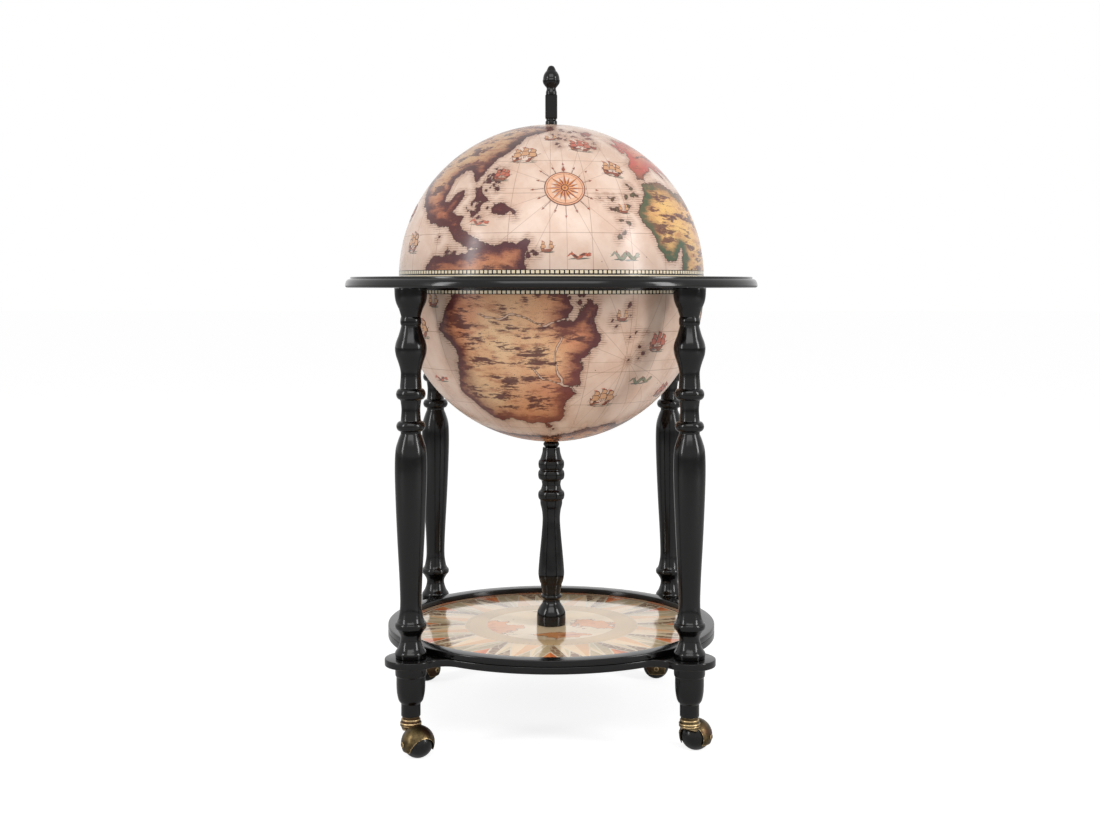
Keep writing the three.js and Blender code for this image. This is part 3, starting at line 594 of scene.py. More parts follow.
def make_turned_wood(black):
    """Legs, feet, centre column and the boss under the bowl."""
    rows = [(f"{kind}_{tag}", shares, WOOD_SOFT) for tag in TAGS
            for kind, shares in (("leg", LEG_SHARES), ("foot", FOOT_SHARES))]
    rows += [("center_column", COLUMN_SHARES, WOOD_SOFT), ("bowl_boss", BOSS_SHARES, BOSS_SOFT)]
    for node, shares, soft in rows:
        low, high, size = node_size(node)
        radius = size.y / 2 / max(r for r, _ in shares)
        outline = [(0, low.z), *scaled(shares, radius, low.z, size.z), (0, high.z)]
        center = ((low.x + high.x) / 2, (low.y + high.y) / 2)
        piece = turned(f"turned_{node}", softened(outline, soft), black, "frame", center)
        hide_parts(node)


def post_sections(half, low, high, corner, steps=4):
    """Sections of a square post with rounded edges."""
    section = []
    for k in range(4):
        middle = math.pi * (0.25 + k / 2)
        center = [math.copysign(half - corner, way(middle)) for way in (math.cos, math.sin)]
        section += [polar(corner, middle - math.pi / 4 + math.pi / 2 * i / steps, center)
                    for i in range(steps + 1)]
    ends = 1 - corner / half
    levels = [(low, ends), (low + corner, 1), (high - corner, 1), (high, ends)]
    return [[(x * s, y * s, z) for x, y in section] for z, s in levels]


# The finial's square post: half width, corner, and its ends as shares of the finial's height.
POST_HALF, POST_CORNER, POST_LOW, POST_HIGH = 8.3 * MM, 0.9 * MM, 0.103, 0.5


def make_finial(black):
    """Acorn, square post and collar over the CAD finial."""
    low, _, size = node_size("finial")
    parts = ("acorn", ACORN_SHARES, ACORN_SOFT), ("collar", FINIAL_COLLAR_SHARES, COLLAR_SOFT)
    for part, shares, soft in parts:
        outline = scaled([(0, shares[0][1]), *shares], size.x / 2, low.z, size.z)
        if outline[-1][0] > ON_AXIS:
            outline.append((0, outline[-1][1]))
        piece = turned(f"finial_{part}", softened(outline, soft), black, "dome")
        if part == "acorn":
            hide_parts("finial")
    ends = (low.z + share * size.z for share in (POST_LOW, POST_HIGH))
    sections = post_sections(POST_HALF, *ends, POST_CORNER)
    post = dressed("finial_post", new_mesh("finial_post", *stack(sections)), black, "dome")
    set_values(post, "edge", np.zeros(len(post.data.vertices)))


# The horizon ring: mouth radius, lip width and drop, width of the nose's root, its undercut.
RING_MOUTH, RING_LIP, LIP_DROP, NOSE_ROOT, NOSE_CUT = 199 * MM, 7 * MM, 3 * MM, 1.5 * MM, 2 * MM
NOSE_STEPS = 12


def make_ring(black):
    """The horizon ring, a flat board with a top lip and a rounded nose."""
    low, high, size = node_size("horizon_ring")
    outer = size.x / 2
    lip, lip_low, nose_low = outer - RING_LIP, high.z - LIP_DROP, low.z + NOSE_CUT
    root = lip + NOSE_ROOT
    outline = [(RING_MOUTH, high.z), (RING_MOUTH, low.z), (outer - NOSE_CUT, low.z)]
    for i in range(NOSE_STEPS + 1):
        across, up = polar(1, math.pi / 2 * i / NOSE_STEPS)
        outline.append((root + (outer - root) * across, nose_low + (lip_low - nose_low) * up))
    outline = softened([*outline, (lip, lip_low), (lip, high.z)], 0.8 * MM, closed=True)
    piece = turned("fine_horizon_ring", outline, black, "frame", segments=256, closed=True)
    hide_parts("horizon_ring")


def arc(center, radius, start, end, steps):
    """Points along an arc, without its last one."""
    return [polar(radius, start + (end - start) * i / steps, center) for i in range(steps)]


def board_outline(board, ear, fillet, legs):
    """The base board's outline: a disc with an ear under each leg, blended by concave fillets."""
    reach, ear_reach = board + fillet, ear + fillet
    swing = math.acos((legs ** 2 + reach ** 2 - ear_reach ** 2) / (2 * legs * reach))
    points = []
    for i in range(4):
        middle = math.pi * (0.25 + i / 2)
        before, after = middle - swing, middle + swing
        lobe, first, last = polar(legs, middle), polar(reach, before), polar(reach, after)
        to_first = math.atan2(lobe[1] - first[1], lobe[0] - first[0])
        to_last = math.atan2(lobe[1] - last[1], lobe[0] - last[0])
        opposite = to_first + math.pi
        points += arc(first, fillet, before + math.pi, fold(to_first, before + math.pi, -1),
                      FILLET_STEPS)
        points += arc(lobe, ear, opposite, fold(to_last + math.pi, opposite, 1), ARC_STEPS)
        points += arc(last, fillet, to_last, fold(after + math.pi, to_last, -1), FILLET_STEPS)
        points += arc((0, 0), board, after, before + math.pi / 2, ARC_STEPS)
    return points


def fold(angle, start, way):
    """The same angle, taken to lie within a turn of start in the given way."""
    return start + way * ((way * (angle - start)) % TURN)


def slab(name, outline, low, high, soft, look, body):
    """A flat board with a rounded edge worn below, from an anticlockwise outline."""
    flat = np.array(outline)
    tangent = np.roll(flat, -1, axis=0) - np.roll(flat, 1, axis=0)
    normal = np.stack([tangent[:, 1], -tangent[:, 0]], axis=1)
    normal /= np.linalg.norm(normal, axis=1, keepdims=True)
    levels = []
    for i in range(5):
        across, up = polar(1, math.pi / 2 * i / 4)
        levels.append((soft * (1 - up), low + soft * (1 - across)))
    levels += [(inset, high - (z - low)) for inset, z in reversed(levels)]
    sections = [[(x, y, z) for x, y in flat - normal * inset] for inset, z in levels]
    piece = dressed(name, new_mesh(name, *stack(sections)), look, body)
    wear = [0.9 if 0 < i < 4 else 0.0 for i in range(len(levels))]
    set_values(piece, "edge", np.repeat(wear, len(flat)))
    return piece


BOARD_EAR, BOARD_FILLET, LEG_CIRCLE = 33 * MM, 25 * MM, 249 * MM
RIM_WIDTH, PANEL_HOLE = 19.4 * MM, 3.8 * MM
ARC_STEPS, FILLET_STEPS = 40, 12


def make_shelf(black):
    """Base board and rim of the lower shelf."""
    low, high, size = node_size("base_board")
    outline = board_outline(size.x / 2, BOARD_EAR, BOARD_FILLET, LEG_CIRCLE)
    piece = slab("fine_base_board", outline, low.z, high.z, 1.2 * MM, black, "frame")
    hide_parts("base_board")
    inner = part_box("tray_rim")[1].x - RIM_WIDTH
    make_plain_ring("fine_tray_rim", "tray_rim", inner, 1.4 * MM, black, 256)


def make_plain_ring(name, node, inner, soft, look, segments):
    """A plain ring over a CAD node, or a disc where there is no inner radius."""
    low, high, size = node_size(node)
    outline = softened(block(inner, size.x / 2, low.z, high.z), soft, closed=inner > 0)
    piece = turned(name, outline, look, "frame", segments=segments, closed=inner > 0)
    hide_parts(node)


# Geography as outlines, in degrees east of the globe's front meridian and north.
DOME_LANDS = [
    [(2, 68), (-9, 65), (-17, 62), (-20, 57), (-25, 50), (-29, 48), (-31, 43), (-32, 38), (-33, 35),
     (-36, 38), (-40, 41), (-44, 41), (-48, 37), (-49, 31), (-48, 28), (-45, 27), (-41, 31),
     (-38, 32), (-36, 30), (-38, 27), (-41, 23), (-38, 20), (-35, 20), (-36, 17), (-33, 15),
     (-28, 13), (-25, 11), (-22, 11), (-27, 9), (-31, 10), (-35, 12), (-39, 15), (-44, 18),
     (-49, 20), (-55, 22), (-62, 26), (-69, 31), (-75, 36), (-82, 42), (-90, 48), (-100, 55),
     (-112, 60), (-120, 66), (-110, 72), (-80, 75), (-40, 76), (0, 74)],
    [(-49, -4), (-49, 2), (-47, 5), (-44, 7), (-40, 8), (-33, 8), (-27, 9), (-24, 11), (-20, 11),
     (-14, 12), (-11, 11), (-8, 13), (-6, 12), (-7, 9), (-8, 6), (-9, 4), (-8, -4)],
    [(43, 35), (42, 30), (39, 26), (36, 23), (38, 19), (40, 14), (42, 10), (45, 7), (51, 6),
     (57, 10), (58, 7), (55, 3), (54, -4), (95, -4), (97, 8), (104, 12), (96, 14), (90, 22),
     (85, 29), (75, 32), (66, 33), (58, 35), (50, 36)],
    [(52, 61), (47, 56), (50, 52), (46, 47), (42, 44), (43, 40), (42, 37), (46, 37), (49, 40),
     (55, 42), (60, 44), (64, 40), (67, 38), (66, 43), (72, 40), (76, 37), (78, 41), (84, 40),
     (90, 37), (89, 31), (94, 28), (97, 15), (106, 18), (113, 24), (105, 30), (112, 26), (120, 25),
     (126, 22), (131, 8), (135, 14), (142, 20), (148, 16), (153, 8), (158, 2), (161, 8), (163, 14),
     (168, 20), (176, 30), (184, 38), (195, 44), (205, 52), (215, 60), (225, 66), (200, 72),
     (160, 76), (120, 72), (95, 68), (80, 70), (68, 63), (60, 58)],
    [(-32, 33), (-32, 31), (-30, 28), (-31, 26), (-28, 26), (-24, 27), (-27, 29), (-29, 31)],
    [(-22, 24), (-21, 26), (-18, 27), (-15, 25), (-13, 23), (-13, 21), (-15, 23), (-18, 22),
     (-21, 23)],
    [(-32, 23), (-28, 23), (-28, 22), (-31, 21)],
    [(30, 62), (38, 64), (36, 67), (29, 66)],
    [(44, 51), (48, 51), (47, 55), (46, 58), (43, 58), (44, 54)],
    [(190, 33), (196, 36), (200, 42), (197, 42), (192, 37)],
]
BOWL_LANDS = [
    [(-37, 4), (-37, -2), (-38, -4), (-40, -7), (-42, -11), (-45, -14), (-41, -18), (-38, -22),
     (-39, -27), (-40, -31), (-44, -37), (-45, -41), (-40, -46), (-38, -49), (-35, -52), (-30, -54),
     (-24, -53), (-18, -55), (-13, -57), (-7, -56), (-1, -55), (4, -54), (6, -51), (7, -47),
     (7, -43), (9, -41), (12, -39), (9, -37), (13, -35), (12, -32), (13, -28), (12, -26), (14, -24),
     (16, -21), (19, -18), (18, -16), (16, -13), (15, -11), (17, -7), (16, -4), (12, -4), (10, -7),
     (7, -10), (4, -11), (5, -9), (7, -6), (7, 4)],
    [(76, 4), (76, -2), (79, -8), (80, -16), (82, -24), (86, -32), (94, -34), (101, -28),
     (104, -20), (108, -12), (107, -5), (109, 4)],
    [(112, -13), (116, -16), (114, -24), (110, -24), (110, -17)],
    [(179, -26), (180, -20), (186, -17), (197, -12), (205, -12), (208, -18), (214, -12), (218, -20),
     (220, -30), (213, -38), (203, -34), (193, -32), (182, -34)],
    [(-180, -62), (-150, -58), (-120, -66), (-90, -60), (-60, -64), (-30, -68), (-12, -67),
     (0, -69), (15, -65), (30, -61), (45, -57), (60, -60), (80, -56), (110, -60), (150, -55),
     (180, -62), (180, -95), (-180, -95)],
]
BOWL_RIVERS = [
    [(4, -10), (-3, -12), (-10, -9), (-18, -11), (-26, -8)],
    [(12, -38), (6, -36), (3, -30), (2, -22), (4, -16)],
    [(6, -36), (-1, -33), (-6, -28)],
]
# Washes: east, north, ground colour, coast colour.
DOME_WASHES = [
    (-55, 45, (206, 168, 126), (82, 50, 52)), (-42, 22, (196, 122, 88), (86, 42, 42)),
    (-25, 5, (214, 142, 100), (90, 48, 52)), (-28, 29, (146, 76, 66), (84, 44, 46)),
    (-17, 24, (146, 76, 66), (84, 44, 46)), (-12, 8, (204, 136, 104), (84, 48, 54)),
    (-20, 60, (204, 170, 132), (80, 54, 52)), (55, 25, (234, 190, 118), (74, 94, 70)),
    (52, 10, (232, 190, 122), (70, 90, 66)), (46, 30, (228, 182, 116), (72, 92, 66)),
    (50, 45, (214, 112, 96), (196, 92, 80)), (70, 52, (216, 140, 116), (190, 98, 84)),
    (90, 20, (226, 172, 110), (96, 86, 60)), (125, 45, (228, 194, 138), (120, 96, 66)),
    (170, 50, (212, 146, 114), (96, 56, 52)),
]
BOWL_WASHES = [
    (-20, -18, (230, 196, 156), (98, 52, 50)), (-28, -40, (226, 188, 148), (104, 56, 52)),
    (12, -14, (212, 142, 104), (90, 46, 48)), (2, -38, (212, 146, 110), (118, 62, 56)),
    (-10, -50, (212, 148, 108), (136, 74, 60)), (-36, -10, (206, 138, 104), (92, 48, 50)),
    (-4, -24, (230, 188, 146), (98, 52, 50)),
    (95, -15, (226, 172, 104), (96, 90, 66)), (200, -25, (220, 170, 124), (104, 62, 54)),
    (0, -75, (214, 150, 100), (84, 60, 50)), (60, -70, (210, 160, 120), (96, 70, 60)),
]
# Strewn islands: east, north, spread, count.
DOME_ISLANDS = [
    (-24, 36, 3.0, 26), (-27, 24, 3.0, 14), (-36, 10, 4.0, 12), (-6, 8, 1.5, 8), (24, 26, 3.0, 8),
    (30, 20, 3.0, 6), (10, 66, 6.0, 14), (28, 60, 4.0, 14), (36, 30, 2.0, 6),
]
BOWL_ISLANDS = [
    (12, -3, 3.0, 8), (28, -9, 2.5, 5), (34, -18, 4.0, 8), (-2, -58, 2.0, 6), (170, -10, 9.0, 24),
]
# Figures: kind, size in millimetres, (east, north), lean in degrees.
DOME_FIGURES = [
    ("rose", 32.0, (6, 32), 0), ("ship", 20.0, (-14, 48), 4), ("galley", 13.0, (-22, 38), 0),
    ("galley", 18.0, (18, 54), -6), ("ship", 17.0, (30, 41), -12), ("small", 10.0, (0, 60), 5),
    ("serpent", 19.0, (27, 7), 0), ("serpent_red", 13.0, (-27, 19), -4),
    ("small", 10.0, (-1, 10), 2), ("serpent_red", 14.0, (10, 7), 3), ("small", 9.0, (29, 24), 0),
    ("ship", 18.0, (-62, 12), 0), ("galley", 16.0, (-78, 24), 0), ("serpent", 18.0, (-92, 8), 0),
    ("rose", 26.0, (-114, 24), 0), ("ship", 19.0, (-142, 12), 0), ("small", 11.0, (-128, 42), 0),
    ("serpent_red", 17.0, (-152, 32), 0), ("small", 10.0, (115, 8), 0),
    ("galley", 14.0, (143, 6), 0),
]
BOWL_FIGURES = [
    ("ship", 20.0, (25, -42), 4), ("galley", 17.0, (44, -19), 0), ("serpent", 18.0, (42, -34), 4),
    ("small", 10.0, (26, -9), 0), ("ship", 18.0, (-56, -14), -3),
    ("serpent_red", 15.0, (-56, -34), 0), ("small", 11.0, (-46, -4), 0),
    ("galley", 16.0, (66, -40), 0), ("ship", 19.0, (-82, -22), 0), ("rose", 26.0, (-115, -22), 0),
    ("serpent", 18.0, (-95, -44), 0), ("galley", 16.0, (-147, -12), 0),
    ("small", 12.0, (-150, -40), 0), ("serpent_red", 18.0, (135, -34), 0),
    ("ship", 19.0, (150, -14), 0), ("small", 12.0, (62, -8), 0),
]


def distance_to(points, lines):
    """Least distance in degrees from each (lon, lat) point to the lines."""
    shrink = np.cos(np.radians(points[:, 1]))
    best = np.full(len(points), 1e9)
    for a, b in lines:
        ax, ay = (a[0] - points[:, 0]) * shrink, a[1] - points[:, 1]
        bx, by = (b[0] - a[0]) * shrink, b[1] - a[1]
        along = np.clip(-(ax * bx + ay * by) / (bx * bx + by * by + 1e-9), 0, 1)
        best = np.minimum(best, np.hypot(ax + along * bx, ay + along * by))
    return best


def inside(points, polygon):
    x, y = points[:, 0], points[:, 1]
    found = np.zeros(len(points), bool)
    for (ax, ay), (bx, by) in zip(polygon, polygon[1:] + polygon[:1]):
        if ay != by:
            found ^= ((ay > y) != (by > y)) & (x < (bx - ax) * (y - ay) / (by - ay) + ax)
    return found


def wobbled(points):
    """The points moved by a few sine waves, so that straight outline stretches become coasts."""
    x, y = np.radians(points[:, 0]), np.radians(points[:, 1])
    moved = points.copy()
    for count, size, phase in ((9, 0.9, 0.3), (17, 0.6, 1.7), (31, 0.4, 2.9), (57, 0.25, 4.4)):
        moved[:, 0] += size * np.sin(count * y + phase) * np.cos(count * 0.7 * x - phase)
        moved[:, 1] += size * np.sin(count * x + 2 * phase) * np.cos(count * 0.8 * y + phase)
    return moved


def land_field(moved, lands, islands):
    """Signed distance to the coast in degrees: above zero on land."""
    field = np.full(len(moved), -1e9)
    for polygon in lands:
        for turn in (-360, 0, 360):
            shifted = [(x + turn, y) for x, y in polygon]
            away = distance_to(moved, zip(shifted, shifted[1:] + shifted[:1]))
            field = np.maximum(field, np.where(inside(moved, shifted), away, -away))
    for x, y, size in islands:
        away = np.hypot((moved[:, 0] - x) * np.cos(np.radians(y)), moved[:, 1] - y)
        field = np.maximum(field, size - away)
    return np.clip(field, -30, 30)


def river_field(moved, rivers):
    """Distance in degrees to the nearest river."""
    lines = [line for course in rivers for line in zip(course, course[1:])]
    return np.minimum(30.0, distance_to(moved, lines))


WASH_CORE_DEG, WASH_FALL = 2.0, 3


def washes(points, anchors, column):
    """A colour for each point, blended from the nearest washes."""
    total, weight = 0.0, 0.0
    for anchor in anchors:
        turn = (points[:, 0] - anchor[0] + 180) % 360 - 180
        away = np.hypot(turn * np.cos(np.radians(points[:, 1])), points[:, 1] - anchor[1])
        share = 1 / (away + WASH_CORE_DEG) ** WASH_FALL
        total = total + share[:, None] * np.array(linear(*anchor[column]))
        weight = weight + share
    return total / weight[:, None]


def scattered_islands(seed, places):
    """Small islands strewn round each (east, north, spread, count) place."""
    rng = np.random.default_rng(seed)
    made = []
    for east, north, spread, count in places:
        for _ in range(count):
            dx, dy = rng.normal(0, spread, 2)
            made.append((east + dx, north + dy, rng.uniform(0.25, 0.9)))
    return made


# The globe. Paper is the printed skin, which overlaps the shell under it.
GLOBE_RADIUS = 210 * MM
SHELL_DEPTH, SHELL_WALL, PAPER = 0.6 * MM, 5 * MM, 0.5 * MM
BOWL_EDGE = 2 * MM
POLE_DEG = 89.0
GORES, FINE_STEPS, COARSE_STEPS, SHELL_STEPS, SHELL_SEGMENTS = 4, 150, 30, 60, 160
Half = namedtuple("Half", "part side shell node body lands rivers washes seed islands figures")
HALVES = (
    Half("upper", 1, "dome_shell", "upper_dome", "dome", DOME_LANDS, [], DOME_WASHES,
         7, DOME_ISLANDS, DOME_FIGURES),
    Half("lower", -1, "bowl_shell", "lower_bowl", "frame", BOWL_LANDS, BOWL_RIVERS, BOWL_WASHES,
         11, BOWL_ISLANDS, BOWL_FIGURES),
)


def center_of(half):
    """Height of the sphere's centre, from the CAD node's lowest point."""
    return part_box(half.node)[0].z + (GLOBE_RADIUS if half.side < 0 else 0.0)


def make_globe(lining):
    """The two hemispheres: lined shells, a printed map over them and the figures on it."""
    for half in HALVES:
        make_shell(half, lining)
    for half in HALVES:
        make_gores(half)
    ink = (figure_material(), "globe_print")
    for half in HALVES:
        for number, (kind, size, place, lean) in enumerate(half.figures, 1):
            name = f"map_{kind}_{half.part}_{number}"
            draw, *choices = FIGURE_KINDS[kind]
            figure(name, draw(*choices), size * MM, place, lean, half, ink)


def make_shell(half, lining):
    """The plain shell under the print. The bowl's rises straight at its edge."""
    center = center_of(half)
    outer, inner = GLOBE_RADIUS - SHELL_DEPTH, GLOBE_RADIUS - SHELL_WALL
    angles = np.linspace(0, math.radians(POLE_DEG), SHELL_STEPS)
    outline = [(radius * math.cos(a), center + half.side * radius * math.sin(a))
               for radius, way in ((outer, angles), (inner, angles[::-1])) for a in way]
    if half.side < 0:
        outline += [(inner, center + BOWL_EDGE), (outer, center + BOWL_EDGE)]
        outline.reverse()
    piece = turned(half.shell, outline, lining, half.body, segments=SHELL_SEGMENTS, closed=True)
    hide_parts(half.node)


def make_gores(half):
    """Printed gores over a hemisphere: fine outside, coarse inside, closed by flat walls."""
    look = (map_material(f"map_{half.part}", half.side > 0), "globe_print")
    islands = scattered_islands(half.seed, half.islands)
    for gore in range(GORES):
        west = -180 + 360 * gore / GORES
        outer, outer_degrees = gore_grid(half, GLOBE_RADIUS, FINE_STEPS, west)
        inner, inner_degrees = gore_grid(half, GLOBE_RADIUS - PAPER, COARSE_STEPS, west)
        numbers = [np.arange(grid[..., 0].size).reshape(grid.shape[:2]) for grid in (outer, inner)]
        faces = gore_faces(numbers[0], numbers[1] + numbers[0].size, half.side > 0)
        name = f"map_gore_{half.part}_{gore + 1}"
        points = np.concatenate([outer.reshape(-1, 3), inner.reshape(-1, 3)])
        piece = dressed(name, new_mesh(name, points, faces), look, half.body)
        degrees = np.concatenate([outer_degrees.reshape(-1, 2), inner_degrees.reshape(-1, 2)])
        moved = wobbled(degrees)
        fields = {"lon": degrees[:, 0], "lat": degrees[:, 1],
                  "land": land_field(moved, half.lands, islands),
                  "river": river_field(moved, half.rivers),
                  "tint": washes(degrees, half.washes, 2), "rim": washes(degrees, half.washes, 3)}
        for field, values in fields.items():
            set_values(piece, field, values)


def gore_grid(half, radius, steps, west):
    """Points and degrees over a gore. The bowl's first row is its straight edge."""
    lats = np.linspace(0.0, POLE_DEG, steps + 1)
    if half.side < 0:
        lats = np.append(0.0, lats)
    lons = np.linspace(west, west + 360 / GORES, steps + 1)
    degrees = np.stack(np.meshgrid(lons, half.side * lats), axis=-1)
    east, north = np.radians(degrees[..., 0]), np.radians(degrees[..., 1])
    points = np.stack([radius * np.cos(north) * np.sin(east),
                       -radius * np.cos(north) * np.cos(east),
                       center_of(half) + radius * np.sin(north)], axis=-1)
    if half.side < 0:
        points[0, :, 2] += BOWL_EDGE
    return points, degrees


def gore_faces(outer, inner, upper):
    """Faces over two grids of point numbers, and the flat walls that join the grids' edges."""
    faces = []
    for grid, flip in ((outer, not upper), (inner, upper)):
        quads = np.stack([grid[:-1, :-1], grid[:-1, 1:], grid[1:, 1:], grid[1:, :-1]], axis=-1)
        faces += (quads[..., ::-1] if flip else quads).reshape(-1, 4).tolist()
    for end in (0, -1):
        same = (end == -1) == upper
        walls = (outer[:, end], inner[:, end], same), (outer[end], inner[end], not same)
        for out, back, flip in walls:
            wall = np.concatenate([out, back[::-1]]).tolist()
            faces.append(wall[::-1] if flip else wall)
    return faces


# Drawn figures on the map, as (outline, colour) layers in a unit square, lowest layer first.
TIMBER, TIMBER_DARK = (136, 70, 54), (78, 42, 38)
CANVAS, CANVAS_RED = (208, 156, 116), (188, 96, 76)
WATER, WATER_DARK = (122, 122, 106), (86, 90, 82)
SALMON, OCHRE, RUST = (224, 164, 132), (216, 146, 88), (146, 72, 58)
ROSE_PALE, ROSE_DARK, ROSE_POINTS = (228, 178, 146), (134, 66, 56), 16
FIGURE_LIFT, FIGURE_STEP, FIGURE_ROOT = 0.06 * MM, 0.012 * MM, 0.048 * MM


def lens(x, y, wide, tall, steps=14):
    """A flat pointed lens, used for waves."""
    rise = [tall * math.sin(math.pi * i / steps) for i in range(steps)]
    top = [(x - wide + 2 * wide * i / steps, y + rise[i]) for i in range(steps)]
    return top + [(x + wide - 2 * wide * i / steps, y - 0.6 * rise[i]) for i in range(steps)]


def stroke(x0, y0, x1, y1, wide):
    """A straight line as a thin quad."""
    half = wide / 2 / math.dist((x0, y0), (x1, y1))
    nx, ny = (y0 - y1) * half, (x1 - x0) * half
    return [(x0 + nx, y0 + ny), (x0 - nx, y0 - ny), (x1 - nx, y1 - ny), (x1 + nx, y1 + ny)]


def disc(radius, steps=44):
    return [polar(radius, TURN * i / steps) for i in range(steps)]


def sail(x, y, wide, tall, belly):
    """A sail hung from a yard at its top, bellied to one side."""
    left, right = ([(x + way * wide * (0.82 + 0.03 * i) + belly * math.sin(math.pi * i / 6),
                     y - tall * i / 6) for i in range(7)] for way in (-1, 1))
    return left + right[::-1]


def outlined(shape, tone, line=0.03):
    """A shape over the same one grown about its middle, which shows as a drawn edge."""
    middle = [sum(p[axis] for p in shape) / len(shape) for axis in (0, 1)]
    edge = []
    for x, y in shape:
        grow = line / max(math.dist((x, y), middle), 1e-6)
        edge.append((x + (x - middle[0]) * grow, y + (y - middle[1]) * grow))
    return [(edge, TIMBER_DARK), (shape, tone)]


def ship_layers(masts, canvas):
    """A small sailing ship: water, hull with castles, masts, bellied sails and pennants."""
    hull = [(-0.72, -0.3), (-0.6, -0.6), (-0.3, -0.68), (0.35, -0.66), (0.6, -0.42), (0.86, -0.02),
            (0.62, -0.14), (0.5, -0.28), (-0.28, -0.3), (-0.36, -0.08), (-0.52, -0.04), (-0.8, 0.1)]
    layers = [(lens(0.0, -0.62, 1.0, 0.13), WATER), (lens(0.25, -0.75, 0.7, 0.07), WATER_DARK),
              (lens(-0.4, -0.56, 0.5, 0.06), WATER_DARK), *outlined(hull, TIMBER, 0.05),
              (stroke(-0.66, -0.38, 0.58, -0.4, 0.05), OCHRE),
              (stroke(-0.58, -0.5, 0.5, -0.52, 0.03), TIMBER_DARK),
              (stroke(0.6, -0.14, 1.08, 0.16, 0.035), TIMBER_DARK)]
    for i in range(masts):
        x = i / (masts - 1) - 0.5
        top = 0.95 - 0.35 * abs(x + 0.05)
        for foot, low, wide in ((x, -0.3, 0.04), (x - 0.42, -0.25, 0.015), (x + 0.4, -0.2, 0.015)):
            layers.append((stroke(x, top, foot, low, wide), TIMBER_DARK))
        for y, wide, tall in ((top - 0.5, 0.24, 0.42), (top - 0.12, 0.16, 0.32)):
            layers += outlined(sail(x, y, wide, tall, 0.08), canvas, 0.035)
            layers.append((stroke(x - wide, y, x + wide, y, 0.035), TIMBER_DARK))
        layers.append(([(x, top), (x, top - 0.09), (x - 0.26, top + 0.03)], CANVAS_RED))
    return layers


def beast_layers(humps, body):
    """A sea serpent: a tapering wavy body with fins, a head and water about it."""
    last = 40
    spine = [(1.75 * t - 0.95, 0.22 * math.sin(math.pi * humps * t) * (1 - 0.4 * t) - 0.05 * t)
             for t in (i / last for i in range(last + 1))]
    left, right = [], []
    for i, (x, y) in enumerate(spine):
        a, b = spine[max(0, i - 1)], spine[min(last, i + 1)]
        wide = (0.035 + 0.11 * math.sin(math.pi * i / 44) + 0.04 * (i > 34)) / math.dist(a, b)
        nx, ny = (a[1] - b[1]) * wide, (b[0] - a[0]) * wide
        left.append((x + nx, y + ny))
        right.append((x - nx, y - ny))
    head = [(0.74, -0.08), (0.86, 0.16), (1.02, 0.2), (1.14, 0.08), (1.02, 0.03), (1.12, -0.05),
            (0.92, -0.1)]
    tail = [(-0.93, 0.0), (-1.12, 0.2), (-1.0, 0.04), (-1.16, -0.08)]
    fins = [[(x - 0.06, y + 0.1), (x + 0.06, y + 0.1), (x - 0.03, y + 0.27)]
            for x, y in spine[8:25:8]]
    return [(lens(0.0, -0.3, 1.05, 0.12), WATER), *outlined(left + right[::-1], body),
            *outlined(head, body), *((fin, RUST) for fin in fins), (tail, body),
            (lens(0.35, -0.3, 0.6, 0.06), WATER_DARK), (lens(-0.55, -0.26, 0.35, 0.05), WATER_DARK)]


def rose_layers():
    """A compass rose: ringed disc, split rays, a button and fine rays reaching outwards."""
    layers = []
    for i in range(ROSE_POINTS):
        c, s = polar(1, TURN * i / ROSE_POINTS)
        far = 1.22 if i % 2 else 1.38
        root = far - 0.12
        layers.append((stroke(0.84 * c, 0.84 * s, far * c, far * s, 0.022), TIMBER_DARK))
        layers.append(([(root * c - 0.05 * s, root * s + 0.05 * c),
                        (root * c + 0.05 * s, root * s - 0.05 * c), (far * c, far * s)], TIMBER))
    layers += [(disc(0.82), TIMBER_DARK), (disc(0.785), SALMON), (disc(0.72), TIMBER_DARK),
               (disc(0.705), ROSE_PALE)]
    for long, offset, dark in ((0.56, 1, ROSE_DARK), (0.76, 0, RUST)):
        for i in range(offset, ROSE_POINTS, 2):
            angle = TURN * i / ROSE_POINTS
            for side, tone in ((-1, dark), (1, OCHRE)):
                foot = polar(0.3, angle + side * math.pi / ROSE_POINTS)
                layers.append(([(0.0, 0.0), foot, polar(long, angle)], tone))
    layers += [(disc(0.15, 24), TIMBER_DARK), (disc(0.115, 24), OCHRE), (disc(0.05, 16), RUST)]
    return layers + [([(0.0, 0.84), (-0.07, 0.96), (0.0, 1.16), (0.07, 0.96)], RUST)]


FIGURE_KINDS = {
    "rose": (rose_layers,),
    "ship": (ship_layers, 3, CANVAS),
    "galley": (ship_layers, 3, CANVAS_RED),
    "small": (ship_layers, 2, CANVAS),
    "serpent": (beast_layers, 4, (120, 124, 98)),
    "serpent_red": (beast_layers, 3, (186, 92, 66)),
}


